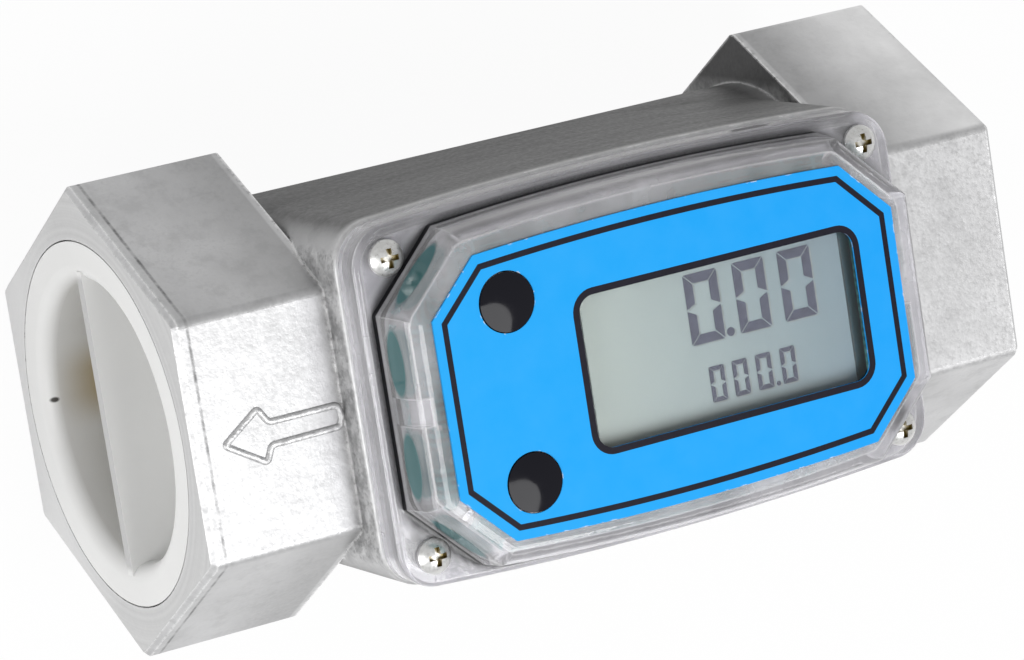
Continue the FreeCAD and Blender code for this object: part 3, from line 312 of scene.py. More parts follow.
def shoulder_share(shader):
    """1 on the hexagons' inner faces, beside the pipe, where painted shade goes."""
    return shader.times(end_facing(shader),
                        shader.spread(off_middle(shader), 46 * MM, 43 * MM),
                        shader.spread(shader.magnitude(shader.axis("Y")), 22 * MM, 26 * MM))


def boss_shade_share(shader):
    """Painted shade on a hexagon's slanted sides: most beside the boss, fading to the port."""
    along = off_middle(shader)
    return shader.times(shader.spread(along, 55 * MM, 41 * MM, 0.0, 0.4, smooth=True),
                        shader.spread(along, BOSS_END, BOSS_END + 0.3 * MM),
                        shader.spread(shader.facing("Z"), 0.9, 0.6))


def far_side_light_share(shader):
    """Painted light: 1 at the outer end of the inlet hexagon's far side."""
    return shader.times(shader.spread(shader.facing("Y"), 0.5, 0.8),
                        shader.spread(shader.axis("X"), 44 * MM, 60 * MM))


def corner_shade_share(shader):
    """Painted shade: 1 deep in corners and bores, 0 in the open and at the port faces."""
    return shader.times(shader.rest(shader.open_share(14 * MM, 0.2, 0.8)),
                        shader.spread(off_middle(shader), NEAR_PORT, NEAR_PORT - 3 * MM))


def boss_end_share(shader):
    """1 on the boss's end walls."""
    return shader.times(end_facing(shader),
                        shader.spread(off_middle(shader), BOSS_END + 0.3 * MM, BOSS_END))


def seam_share(shader):
    """1 on the mould's joint, a line round the outlet hexagon near its port face."""
    off_seam = shader.magnitude(shader.math("ADD", shader.axis("X"), MOULD_SEAM))
    return shader.spread(off_seam, 0.3 * MM, 0.1 * MM)


# ---------------------------------------------------------------- materials

def cast_metal():
    """Die-cast aluminium: fine grain, smooth end faces, worn edges, painted shade and light."""
    base = tuple(colours().casting)
    shader = Shader("cast_aluminium", base, metallic=0.7)
    clouds = shader.noise(60.0, 5.0, 0.6)
    mottle = shader.noise(260.0, 6.0, 0.7)
    pits = shader.noise(520.0, 4.0, 0.6)
    fine_pits = shader.noise(1300.0, 4.0, 0.65)
    grain = shader.noise(1500.0, 3.0, 0.6)
    turned = port_face_share(shader)
    waist = waist_share(shader)
    shoulder = shoulder_share(shader)
    rough_cast = shader.times(shader.rest(turned), shader.rest(waist))

    tone = shader.mix(shader.spread(clouds, 0.3, 0.7), shade(base, 0.84), shade(base, 1.08))
    tone = shader.mix(shader.spread(grain, 0.3, 0.52), shade(base, 0.89), tone)
    tone = shader.mix(shader.spread(mottle, 0.36, 0.5, 0.45, 0.0), tone, shade(base, 0.72))
    # Painted shade on the hexagons' slanted sides beside the boss.
    tone = shader.mix(boss_shade_share(shader), tone, shade(base, 0.4))
    # Painted shade on the hexagons' inner faces beside the pipe.
    tone = shader.mix(shader.times(shoulder, 0.9), tone, shade(base, 0.15))
    # Painted light on the outer end of the inlet hexagon's far side.
    pale = shader.mix(shader.spread(clouds, 0.35, 0.65), grey(0.78), grey(1.0))
    tone = shader.mix(far_side_light_share(shader), tone, pale)
    # Painted shade on the pipe and the boss's sides between the hexagons, with streaks along the
    # pipe.
    tone = shader.mix(waist, tone, waist_shade_with_streaks(shader))
    # Painted shade deep in corners and bores.
    tone = shader.mix(corner_shade_share(shader), tone, shade(base, 0.22))
    tone = shader.mix(turned, tone, turned_metal(shader))

    near_edge = shader.times(shader.edge_share(1.7 * MM, 0.01, 0.2), rough_cast)
    crusted = shader.most(near_edge, shader.times(boss_end_share(shader), 0.7))
    crusted = shader.times(crusted, shader.rest(shoulder))
    crust = shader.times(crusted, shader.spread(pits, 0.4, 0.6), 0.7)
    tone = shader.mix(crust, tone, grey(0.92))
    dark_pits = shader.times(crusted, shader.spread(fine_pits, 0.5, 0.38), 0.7)
    tone = shader.mix(dark_pits, tone, shade(base, 0.4))
    seam = shader.times(seam_share(shader), rough_cast,
                        shader.spread(pits, 0.35, 0.6, 1.0, 0.25))
    tone = shader.mix(seam, tone, shade(base, 0.3))
    worn = shader.times(shader.edge_share(0.7 * MM, 0.01, 0.1), rough_cast,
                        shader.spread(fine_pits, 0.3, 0.5))
    tone = shader.mix(worn, tone, grey(0.95))

    relief = shader.bump(grain, 0.3, 0.08 * MM)
    relief = shader.bump(mottle, 0.12, 0.3 * MM, relief)
    relief = shader.bump(pits, shader.spread(crusted, 0.0, 1.0, 0.06, 0.9), 0.45 * MM, relief)
    return shader.finish(Base_Color=tone, Normal=relief,
                         Roughness=shader.spread(grain, 0.3, 0.7, 0.36, 0.54),
                         Metallic=shader.spread(turned, 0.0, 1.0, 0.7, 0.35))


def waist_shade_with_streaks(shader):
    """Painted shade: very dark grey, with streaks along the pipe."""
    drawn = shader.add("ShaderNodeMapping", {"Vector": shader.place, "Scale": (0.1, 1.0, 1.0)})
    streaks = shader.noise(420.0, 4.0, 0.6, drawn.outputs["Vector"])
    return shader.mix(shader.spread(streaks, 0.3, 0.7), grey(0.12), grey(0.18))


def turned_metal(shader):
    """Pale turned metal with rings round the bore, and painted light below it."""
    across_rings = shader.add("ShaderNodeCombineXYZ", {"X": bore_radius(shader)}).outputs[0]
    rings = shader.noise(900.0, 3.0, 0.6, across_rings)
    polish = shader.mix(shader.spread(rings, 0.35, 0.7), grey(0.58), grey(0.68))
    # Painted light on the lower part of the port faces.
    below = shader.spread(over_axis(shader), -5 * MM, -22 * MM, 0.0, 0.8)
    return shader.mix(below, polish, grey(0.82))


def plain_plastic(name, base, roughness):
    """Moulded plastic with a slight change of tone and a fine moulded skin."""
    shader = Shader(name, base)
    clouds = shader.noise(60.0, 3.0)
    skin = shader.noise(900.0, 2.0)
    tone = shader.mix(shader.spread(clouds, 0.3, 0.7), shade(base, 0.94), shade(base, 1.06))
    return shader.finish(Base_Color=tone, Normal=shader.bump(skin, 0.2, 0.05 * MM),
                         Roughness=shader.spread(clouds, 0.3, 0.7, roughness * 0.85,
                                                 roughness * 1.15))


def plain_metal(name, base, roughness, stretch=(1.0, 1.0, 1.0)):
    """Turned or drawn metal with fine tool marks."""
    shader = Shader(name, base, metallic=1.0)
    turned = shader.add("ShaderNodeMapping", {"Vector": shader.place, "Scale": stretch})
    marks = shader.noise(2500.0, 3.0, 0.6, turned.outputs["Vector"])
    clouds = shader.noise(150.0, 3.0)
    tone = shader.mix(shader.spread(clouds, 0.3, 0.7), shade(base, 0.8), base)
    return shader.finish(Base_Color=tone, Normal=shader.bump(marks, 0.15, 0.03 * MM),
                         Roughness=shader.spread(marks, 0.3, 0.7, roughness * 0.7,
                                                 roughness * 1.3))


def plug_plastic():
    """White plug: satin, painted shade on and behind its web, a beige stain, and a small nick."""
    base = tuple(colours().plug)
    shader = Shader("white_plug", base, 0.4)
    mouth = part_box("outlet_plug")[0][0]
    height = over_axis(shader)
    depth = shader.minus(shader.axis("X"), mouth)
    inside = shader.spread(bore_radius(shader), 20.5 * MM, 19.4 * MM, smooth=True)
    behind = shader.times(inside, shader.spread(height, 0.5 * MM, -2.5 * MM, smooth=True))
    # Painted shade behind the web, darker with depth.
    web_shade = shader.times(behind, shader.spread(depth, 1.5 * MM, 15 * MM))
    off_streak = shader.magnitude(shader.minus(shader.axis("Y"), 2.5 * MM))
    streak = shader.times(behind, shader.spread(depth, 1.5 * MM, 8 * MM),
                          shader.spread(off_streak, 7 * MM, 1 * MM, smooth=True))
    # Painted shade on the web's front face.
    web_edge_shade = shader.times(inside, shader.spread(shader.magnitude(height), 1.6 * MM, 1.2 * MM),
                            shader.spread(shader.magnitude(shader.facing("X")), 0.6, 0.9))
    off_nick = shader.distance(shader.minus(shader.axis("Y"), 1 * MM),
                               shader.times(shader.minus(depth, 1.4 * MM), 0.6))
    nick = shader.times(shader.spread(off_nick, 0.45 * MM, 0.25 * MM),
                        shader.spread(height, -14 * MM, -15 * MM))

    clouds = shader.noise(60.0, 3.0)
    tone = shader.mix(shader.spread(clouds, 0.3, 0.7), shade(base, 0.95), base)
    # Painted shade behind the web, then a beige stain streak there.
    tone = shader.mix(web_shade, tone, (0.36, 0.355, 0.33))
    tone = shader.mix(streak, tone, (0.44, 0.36, 0.22))
    # Painted shade on the web's front face.
    tone = shader.mix(shader.times(web_edge_shade, 0.9), tone, grey(0.5))
    tone = shader.mix(nick, tone, (0.05, 0.045, 0.04))
    skin = shader.noise(600.0, 2.0)
    return shader.finish(Base_Color=tone, Normal=shader.bump(skin, 0.15, 0.04 * MM))


def clear_plastic():
    """Polished clear polycarbonate, a little milky; painted edge highlights and crease shade."""
    tint = tuple(colours().cover)
    shader = Shader("clear_plastic", tint)
    shader.set("IOR", 1.49)
    window = window_share(shader, 2.5 * MM)
    plain = shader.rest(window)
    patches = shader.noise(75.0, 4.0, 0.6)
    fine = shader.noise(700.0, 2.0, 0.5)
    # Painted highlight along the cover's edges.
    edge = shader.edge_share(0.6 * MM, 0.01, 0.12)
    # Painted shade in the corner at the dome's foot and down the flange's side.
    crease = foot_shade(shader)
    # Painted image of the dark teal board, as if seen through the dome's sides.
    painted_board_image = painted_board_image_share(shader)

    milky = shader.most(shader.spread(patches, 0.3, 0.7, 0.12, 0.34), shader.times(edge, 0.55),
                        shader.spread(crease, 0.0, 1 / 1.3), shader.times(painted_board_image, 0.65))
    tone = shader.mix(shader.spread(patches, 0.3, 0.7), shade(tint, 0.85), tint)
    # Painted image of the board on the dome's sides.
    tone = shader.mix(painted_board_image, tone, (0.07, 0.2, 0.21))
    # Painted highlight along the edges.
    tone = shader.mix(edge, tone, grey(0.97))
    # Painted shade at the dome's foot.
    tone = shader.mix(crease, tone, (0.008, 0.008, 0.01))
    tone = shader.mix(window, tone, grey(0.98))
    relief = shader.bump(patches, shader.times(plain, 0.1), 1.0 * MM)
    relief = shader.bump(fine, shader.times(plain, 0.06), 0.08 * MM, relief)
    shader.let_lamps_through(shade(tint, 0.9))
    return shader.finish(Base_Color=tone, Roughness=shader.spread(fine, 0.3, 0.7, 0.03, 0.12),
                         Transmission_Weight=shader.rest(shader.times(milky, plain)),
                         Normal=relief)


def foot_shade(shader):
    """Share of painted shade in the corner between the dome's wall and the flange."""
    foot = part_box("display_cover")[1][2] - DOME_HEIGHT
    height = shader.minus(shader.axis("Z"), foot)
    flange_top = shader.spread(shader.magnitude(height), 0.5 * MM, 0.25 * MM)
    corner = shader.times(shader.rest(shader.open_share(4.5 * MM, 0.55, 0.92)), flange_top)
    upright = shader.spread(shader.magnitude(shader.facing("Z")), 0.5, 0.3)
    soft = shader.spread(height, 3.0 * MM, 0.6 * MM, 0.0, 0.5, smooth=True)
    line = shader.spread(height, 1.2 * MM, 0.8 * MM)
    wall = shader.times(shader.most(soft, line), shader.spread(height, -0.1 * MM, 0.0))
    skirt = shader.times(shader.spread(height, -3.2 * MM, -0.6 * MM, 0.0, 0.45, smooth=True),
                         shader.spread(height, 0.0, -0.1 * MM))
    return shader.most(corner, shader.times(shader.math("ADD", wall, skirt), upright))


def painted_board_image_share(shader):
    """Painted ovals of the dark board inside, on the dome's short sides and corners."""
    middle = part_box("display_cover")[1][2] - 3.7 * MM
    height = shader.math("DIVIDE", shader.minus(shader.axis("Z"), middle), 2.0 * MM)
    x, y = [shader.magnitude(shader.axis(name)) for name in "XY"]
    x_facing, y_facing = [shader.magnitude(shader.facing(name)) for name in "XY"]
    on_end = shader.spread(x_facing, 0.85, 0.95)
    on_corner = shader.times(shader.spread(x_facing, 0.4, 0.5), shader.spread(y_facing, 0.4, 0.5))
    off_corner = shader.minus(shader.minus(x, y), DOME_HALF_LENGTH - DOME_HALF_WIDTH)
    end_place = shader.math("DIVIDE", shader.minus(y, 6.8 * MM), 5.0 * MM)
    corner_place = shader.math("DIVIDE", off_corner, 7.4 * MM)
    ovals = [shader.times(shader.spread(shader.distance(place, height), 1.05, 0.8, smooth=True),
                          side)
             for place, side in ((end_place, on_end), (corner_place, on_corner))]
    return shader.most(*ovals)


def window_share(shader, margin):
    """1 over the display and a margin, where the cover is clearest, and 0 round it."""
    (left, near, bottom), (right, far, top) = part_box("display_glass")
    along = shader.magnitude(shader.minus(shader.axis("X"), (left + right) / 2))
    across = shader.magnitude(shader.axis("Y"))
    half_length, half_width = (right - left) / 2 + margin, (far - near) / 2 + margin
    return shader.times(shader.spread(along, half_length + MM, half_length),
                        shader.spread(across, half_width + MM, half_width),
                        shader.spread(shader.axis("Z"), bottom, top))


def label_film():
    """Printed film: blue, deeper to the right, with a faint mottle and a few pale flecks."""
    base = tuple(colours().label)
    shader = Shader("blue_label", base)
    shader.set("Specular IOR Level", 0.15)
    along = shader.spread(shader.axis("X"), -35 * MM, 35 * MM)
    mottle = shader.noise(250.0, 3.0)
    tone = shader.mix(along, base, (base[0] * 0.7, base[1] * 0.93, base[2]))
    tone = shader.mix(shader.spread(mottle, 0.3, 0.75, 0.0, 0.12), tone, (0.10, 0.50, 1.0))
    flecks = shader.times(shader.edge_share(0.35 * MM, 0.01, 0.2),
                          shader.spread(shader.noise(700.0, 4.0), 0.6, 0.66))
    tone = shader.mix(flecks, tone, grey(0.85))
    skin = shader.noise(1800.0)
    return shader.finish(Base_Color=tone, Normal=shader.bump(skin, 0.05, 0.02 * MM))


def screen_glass():
    """Front of the liquid crystal display: grey green, with painted light and shade across it."""
    base = tuple(colours().screen)
    shader = Shader("display_front", base, 0.35)
    shader.set("Specular IOR Level", 0.25)
    along = shader.spread(shader.axis("X"), -13 * MM, 27 * MM)
    clouds = shader.noise(40.0, 2.0)
    specks = shader.noise(3500.0, 2.0, 0.6)
    # Painted light to the left; painted shade, deeper and bluer, to the right.
    deep = (base[0] * 0.5, base[1] * 0.62, base[2] * 0.8)
    tone = shader.mix(along, shade(base, 1.12), deep)
    tone = shader.mix(shader.spread(clouds, 0.35, 0.7, 0.0, 0.2), tone, shade(base, 0.8))
    tone = shader.mix(shader.spread(specks, 0.5, 0.8, 0.0, 0.25), tone, shade(base, 0.75))
    return shader.finish(Base_Color=tone)


def ink(name, base, roughness=0.45):
    """Printed ink, a little uneven."""
    shader = Shader(name, base, roughness)
    shader.set("Specular IOR Level", 0.15)
    patches = shader.noise(1200.0, 3.0)
    tone = shader.mix(shader.spread(patches, 0.3, 0.75), base,
                      [channel * 1.4 + 0.002 for channel in base])
    return shader.finish(Base_Color=tone)


def screw_metal():
    """Bright zinc with painted shade, tinted brown, down in the cross recess."""
    shader = Shader("zinc_screw", (0.85, 0.85, 0.84), metallic=0.85)
    clear_of_recess_shade = shader.open_share(1.2 * MM, 0.3, 0.7)
    marks = shader.noise(2600.0, 3.0)
    tone = shader.mix(shader.spread(marks, 0.35, 0.65), (0.76, 0.76, 0.74), (0.9, 0.9, 0.89))
    # Painted shade, tinted brown, in the cross recess.
    tone = shader.mix(clear_of_recess_shade, (0.26, 0.20, 0.06), tone)
    return shader.finish(Base_Color=tone, Normal=shader.bump(marks, 0.06, 0.02 * MM),
                         Roughness=shader.spread(marks, 0.3, 0.7, 0.26, 0.4))


def button_gloss():
    """Glossy dark plastic, smudged by fingers."""
    shader = Shader("button_gloss", tuple(colours().button))
    shader.set("Specular IOR Level", 0.15)
    shader.set("Coat Weight", 0.03)
    shader.set("Coat Roughness", 0.03)
    smudges = shader.noise(350.0, 3.0)
    return shader.finish(Roughness=shader.spread(smudges, 0.3, 0.8, 0.05, 0.16))


def board_mask():
    """Solder mask over copper tracks, with bare pads."""
    base = tuple(colours().board)
    shader = Shader("circuit_board", base, 0.35)
    tracks = shader.add("ShaderNodeTexBrick", {
        "Vector": shader.place, "Scale": 190.0, "Mortar Size": 0.06, "Brick Width": 0.9,
        "Row Height": 0.22,
    }, offset=0.37, squash=0.6)
    wander = shader.noise(90.0, 3.0)
    copper = shader.times(tracks.outputs["Fac"], shader.spread(wander, 0.4, 0.5))
    tone = shader.mix(copper, base, [channel * 1.9 + 0.01 for channel in base])
    pads = shader.add("ShaderNodeTexVoronoi", {"Vector": shader.place, "Scale": 260.0})
    bare = shader.times(shader.spread(pads.outputs["Distance"], 0.16, 0.12),
                        shader.spread(shader.noise(110.0, 1.0), 0.55, 0.58))
    tone = shader.mix(bare, tone, (0.75, 0.75, 0.7))
    return shader.finish(Base_Color=tone, Normal=shader.bump(copper, 0.3, 0.05 * MM))


def battery_jacket():
    """Dark printed jacket with fine scratches under a clear coat."""
    dark = (0.02, 0.025, 0.03)
    shader = Shader("battery_jacket", dark, 0.3)
    shader.set("Coat Weight", 0.4)
    scratches = shader.noise(500.0, 3.0)
    tone = shader.mix(shader.spread(scratches, 0.3, 0.8), dark, (0.06, 0.065, 0.075))
    return shader.finish(Base_Color=tone)


def wound_copper():
    """Enamelled wire, wound in level turns."""
    shader = Shader("copper_winding", (0.72, 0.3, 0.12), 0.3, 1.0)
    wire = 0.12 * MM
    turns = shader.math("SINE", shader.times(shader.axis("Z"), 2 * math.pi / wire))
    tone = shader.mix(shader.spread(turns, -1.0, 1.0), (0.38, 0.13, 0.05), (0.8, 0.36, 0.16))
    return shader.finish(Base_Color=tone, Normal=shader.bump(turns, 0.4, 0.05 * MM))


# ---------------------------------------------------------------- mesh helpers

def dress(material, *nodes):
    """Gives CAD nodes a material."""
    for name in nodes:
        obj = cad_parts[name]
        obj.data.materials.clear()
        obj.data.materials.append(material)


def add_piece(name, mesh, material, body):
    """Turns a finished bmesh into an object that rides on a body."""
    data = bpy.data.meshes.new(name)
    mesh.to_mesh(data)
    mesh.free()
    data.materials.append(material)
    piece = bpy.data.objects.new(name, data)
    bpy.context.scene.collection.objects.link(piece)
    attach(piece, body)
    return piece


def flat_face(mesh, points):
    """One face at height 0 through a few corner points, facing up."""
    verts = [mesh.verts.new((x, y, 0.0)) for x, y in points]
    face = mesh.faces.new(verts)
    face.normal_update()
    if face.normal.z < 0:
        face.normal_flip()
    return face


def round_corners(mesh, radius, segments):
    """Rounds the corners of a flat outline."""
    bmesh.ops.bevel(mesh, geom=mesh.verts[:], offset=radius, offset_type="OFFSET",
                    segments=segments, profile=0.5, affect="VERTICES", material=-1)


def bow_sides(mesh, half_chord, rise):
    """Bows the two sides that run along X outwards by rise."""
    near_zero = 1e-9
    sides = [edge for edge in mesh.edges
             if abs(edge.verts[0].co.y - edge.verts[1].co.y) < near_zero]
    bmesh.ops.subdivide_edges(mesh, edges=sides, cuts=16)
    reach = max(vert.co.y for vert in mesh.verts)
    for vert in mesh.verts:
        if abs(abs(vert.co.y) - reach) < near_zero:
            vert.co.y += math.copysign(rise * (1 - (vert.co.x / half_chord) ** 2), vert.co.y)
    bmesh.ops.dissolve_faces(mesh, faces=mesh.faces[:])


def keep_ring(mesh, width):
    """Leaves only a band of the given width inside the outline."""
    ring = bmesh.ops.inset_individual(mesh, faces=mesh.faces[:], thickness=width,
                                      use_even_offset=True)["faces"]
    inner = [face for face in mesh.faces if face not in ring]
    bmesh.ops.delete(mesh, geom=inner, context="FACES_ONLY")


def raise_faces(mesh, height):
    """Gives flat faces a thickness, upwards from where they lie."""
    result = bmesh.ops.extrude_face_region(mesh, geom=mesh.faces[:], use_keep_orig=True)
    top = [item for item in result["geom"] if isinstance(item, bmesh.types.BMVert)]
    bmesh.ops.translate(mesh, verts=top, vec=(0, 0, height))
    bmesh.ops.recalc_face_normals(mesh, faces=mesh.faces[:])


def octagon(mesh, half_length, half_width, cut, bow):
    """Rectangle with cut corners and bowed long sides."""
    inner_x = half_length - cut
    inner_y = half_width - cut
    flat_face(mesh, [
        (inner_x, -half_width), (half_length, -inner_y), (half_length, inner_y),
        (inner_x, half_width), (-inner_x, half_width), (-half_length, inner_y),
        (-half_length, -inner_y), (-inner_x, -half_width),
    ])
    bow_sides(mesh, inner_x, bow)


# ---------------------------------------------------------------- casting

def thread_ridge(material, name, side):
    """One helical ridge inside the port on that side, from the bore's step to the port face."""
    pitch = sizes().thread_pitch
    root = 23.95 * MM
    crest = root - sizes().thread_depth
    half_foot, half_top = 0.46 * pitch, 0.08 * pitch
    start = side * 42.9 * MM
    turns = 7.4
    steps_per_turn = 48
    height = pipe_axis()
    mesh = bmesh.new()
    profile = [(-half_foot, root), (-half_top, crest), (half_top, crest), (half_foot, root)]
    verts = [mesh.verts.new((start + x, 0.0, height + radius)) for x, radius in profile]
    edges = [mesh.edges.new(pair) for pair in zip(verts, verts[1:] + verts[:1])]
    bmesh.ops.spin(mesh, geom=verts + edges, cent=(start, 0, height), axis=(side, 0, 0),
                   dvec=(side * pitch / steps_per_turn, 0, 0), angle=turns * 2 * math.pi,
                   steps=int(turns * steps_per_turn), use_merge=False, use_duplicate=False)
    bmesh.ops.holes_fill(mesh, edges=[edge for edge in mesh.edges if edge.is_boundary])
    bmesh.ops.recalc_face_normals(mesh, faces=mesh.faces[:])
    return add_piece(name, mesh, material, "housing")


def flow_arrow(material):
    """Cast outline of an arrow on the outlet hexagon, pointing the way the flow leaves."""
    tip_and_head = [(-58.5, -0.8), (-53.2, 2.9), (-51.9, 0.8)]
    tail = [(-42.0, 0.8), (-41.5, -0.6), (-42.0, -2.1)]
    foot_of_head = [(-52.0, -2.2), (-52.9, -4.3)]
    mesh = bmesh.new()
    flat_face(mesh, [(x * MM, y * MM) for x, y in tip_and_head + tail + foot_of_head])
    round_corners(mesh, 0.5 * MM, 4)
    path = [loop.vert.co.to_4d() for loop in mesh.faces[:][0].loops]
    mesh.free()
    line = bpy.data.curves.new("flow_arrow_line", "CURVE")
    line.dimensions = "3D"
    line.bevel_depth = sizes().arrow_line / 2
    line.bevel_resolution = 4
    spline = line.splines.new("POLY")
    spline.points.add(len(path) - 1)
    for point, place in zip(spline.points, path):
        point.co = place
    spline.use_cyclic_u = True
    bead = bmesh.new()
    bead.from_mesh(bpy.data.meshes.new_from_object(bpy.data.objects.new("line", line)))
    flatness = 2 * sizes().arrow_height / sizes().arrow_line
    bmesh.ops.scale(bead, verts=bead.verts[:], vec=(1, 1, flatness))
    bmesh.ops.translate(bead, verts=bead.verts[:], vec=(0, 0, 2 * pipe_axis()))
    for face in bead.faces:
        face.smooth = True
    return add_piece("flow_arrow", bead, material, "housing")


class METER_OT_casting(Operator):
    """Finishes the cast body, its port threads and the flow arrow"""

    bl_idname = "meter.casting"
    bl_label = "Casting"

    def execute(self, context):
        metal = cast_metal()
        dress(metal, "meter_body")
        thread_ridge(metal, "inlet_thread", 1)
        thread_ridge(metal, "outlet_thread", -1)
        flow_arrow(metal)
        return {"FINISHED"}


# ---------------------------------------------------------------- plug and turbine

class METER_OT_turbine(Operator):
    """Finishes the plug and everything in the bore"""

    bl_idname = "meter.turbine"
    bl_label = "Plug and turbine"

    def execute(self, context):
        dress(plug_plastic(), "outlet_plug")
        dress(plain_plastic("nylon_support", (0.80, 0.80, 0.77), 0.45), "inlet_support",
              "outlet_support")
        dress(plain_plastic("rotor_plastic", (0.03, 0.035, 0.045), 0.38), "turbine_rotor")
        dress(plain_plastic("bearing_plastic", (0.62, 0.58, 0.45), 0.35), "rotor_bushes",
              "thrust_washers")
        dress(plain_metal("ring_steel", (0.28, 0.28, 0.29), 0.32), "inlet_retaining_ring",
              "outlet_retaining_ring")
        dress(plain_metal("shaft_steel", (0.68, 0.68, 0.69), 0.2, (0.05, 1, 1)),
              "rotor_shaft")
        dress(plain_metal("magnet_nickel", (0.6, 0.58, 0.54), 0.25), "rotor_magnets")
        return {"FINISHED"}


# ---------------------------------------------------------------- cover and label

class METER_OT_cover(Operator):
    """Finishes the clear cover, its gasket and its screws"""

    bl_idname = "meter.cover"
    bl_label = "Clear cover"

    def execute(self, context):
        dress(clear_plastic(), "display_cover")
        dress(plain_plastic("gasket_rubber", tuple(colours().gasket), 0.7), "cover_gasket")
        dress(screw_metal(), "cover_screws", "board_screws")
        return {"FINISHED"}


def print_line(name, mesh, width, material):
    """Prints the outline in mesh on the label, as a line of that width inside it."""
    label_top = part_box("face_label")[1][2]
    sunk = 0.005 * MM
    keep_ring(mesh, width)
    bmesh.ops.translate(mesh, verts=mesh.verts[:], vec=(0, 0, label_top - sunk))
    raise_faces(mesh, sizes().print_height)
    return add_piece(name, mesh, material, "housing")


def label_border(material):
    """Line that follows the label's edge."""
    half_length, half_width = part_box("face_label")[1][:2]
    label_cut = 7.1 * MM
    label_bow = 0.95 * MM
    inset = sizes().border_inset
    corner_share = 0.586  # what a corner's cut loses for each unit of inset
    mesh = bmesh.new()
    octagon(mesh, half_length - inset, half_width - label_bow - inset,
            label_cut - inset * corner_share, label_bow)
    return print_line("label_border", mesh, sizes().border_line, material)


def window_border(material):
    """Line round the label's window, with round corners."""
    line = sizes().window_line
    left, right, half_width = -13.85 * MM - line, 28.15 * MM + line, 10.15 * MM + line
    mesh = bmesh.new()
    flat_face(mesh, [(left, -half_width), (right, -half_width), (right, half_width),
                     (left, half_width)])
    round_corners(mesh, 3.2 * MM, 8)
    return print_line("window_border", mesh, line, material)


class METER_OT_label(Operator):
    """Finishes the printed label"""

    bl_idname = "meter.label"
    bl_label = "Label"

    def execute(self, context):
        dress(label_film(), "face_label")
        lines = ink("label_ink", tuple(colours().ink))
        label_border(lines)
        window_border(lines)
        return {"FINISHED"}


# ---------------------------------------------------------------- display

def digit_zero(mesh, left, right, bottom, top, width, gap):
    """The figure 0 as six bars with mitred ends, square at the figure's outer corners."""
    middle = (bottom + top) / 2
    for edge, inward in ((bottom, 1), (top, -1)):
        inner = edge + inward * width
        flat_face(mesh, [(left + gap, edge), (right - gap, edge),
                         (right - width - gap, inner), (left + width + gap, inner)])
        for side, across in ((left, 1), (right, -1)):
            flat_face(mesh, [(side, edge + inward * gap),
                             (side, middle - inward * gap),
                             (side + across * width, middle - inward * (gap + width / 2)),
                             (side + across * width, edge + inward * (width + gap))])


def display_digits(material, name, height, shift=(0.0, 0.0)):
    """Two rows of noughts with their decimal points."""
    wide, narrow = sizes().digit_line, sizes().small_digit_line
    large_row = ((2.9, 8.0), (10.4, 15.2), (17.4, 22.4))
    small_row = ((4.75, 7.06), (8.3, 10.6), (11.9, 14.25), (15.7, 18.0))
    points = ((8.9, 0.4, 0.6), (14.95, -8.0, 0.33))
    mesh = bmesh.new()
    for left, right in large_row:
        digit_zero(mesh, left * MM, right * MM, -0.25 * MM, 9.2 * MM, wide, 0.1 * MM)
    for left, right in small_row:
        digit_zero(mesh, left * MM, right * MM, -8.3 * MM, -3.5 * MM, narrow, 0.05 * MM)
    for x, y, radius in points:
        dot = bmesh.ops.create_circle(mesh, cap_ends=True, segments=16, radius=radius * MM)
        bmesh.ops.translate(mesh, verts=dot["verts"], vec=(x * MM, y * MM, 0))
    bmesh.ops.translate(mesh, verts=mesh.verts[:], vec=(*shift, height))
    raise_faces(mesh, 0.02 * MM)
    return add_piece(name, mesh, material, "housing")


class METER_OT_display(Operator):
    """Finishes the display glass, its digits and what holds it"""

    bl_idname = "meter.display"
    bl_label = "Display"

    def execute(self, context):
        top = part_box("display_glass")[1][2]
        dress(screen_glass(), "display_glass")
        digits = tuple(colours().digits)
        shadow = [(front + back) / 2 for front, back in zip(digits, colours().screen)]
        display_digits(ink("digit_shadow", shadow, 0.5), "digit_shadows", top + 0.01 * MM,
                       (0.3 * MM, -0.2 * MM))
        display_digits(ink("digit_ink", digits, 0.35), "display_digits", top + 0.05 * MM)
        dress(plain_plastic("dark_frame", (0.008, 0.03, 0.035), 0.4), "display_holder")
        dress(plain_plastic("reflector_film", (0.6, 0.62, 0.6), 0.3), "display_reflector")
        dress(plain_plastic("strip_rubber", (0.05, 0.05, 0.055), 0.6), "contact_strips")
        return {"FINISHED"}


class METER_OT_buttons(Operator):
    """Finishes the two push buttons and their switches"""

    bl_idname = "meter.buttons"
    bl_label = "Buttons"

    def execute(self, context):
        dress(button_gloss(), "upper_button", "lower_button")
        dress(plain_plastic("switch_plastic", (0.02, 0.02, 0.02), 0.5), "upper_switch",
              "lower_switch")
        return {"FINISHED"}


# ---------------------------------------------------------------- electronics

class METER_OT_electronics(Operator):
    """Finishes the board, its components, the batteries and the pickup coil"""

    bl_idname = "meter.electronics"
    bl_label = "Electronics"

    def execute(self, context):
        dress(board_mask(), "circuit_board")
        dress(plain_plastic("chip_epoxy", (0.015, 0.015, 0.016), 0.55), "controller_chip")
        dress(plain_metal("crystal_can", (0.7, 0.7, 0.7), 0.25), "clock_crystal",
              "storage_capacitor")
        dress(plain_plastic("tray_plastic", (0.02, 0.02, 0.02), 0.5), "battery_tray")
        dress(battery_jacket(), "battery_1", "battery_2")
        dress(plain_metal("contact_nickel", (0.72, 0.7, 0.66), 0.28), "negative_springs",
              "positive_contacts")
        dress(plain_plastic("spool_plastic", (0.55, 0.5, 0.36), 0.45), "pickup_spool")
        dress(wound_copper(), "pickup_winding")
        dress(plain_metal("core_iron", (0.3, 0.3, 0.31), 0.45), "pickup_core")
        return {"FINISHED"}


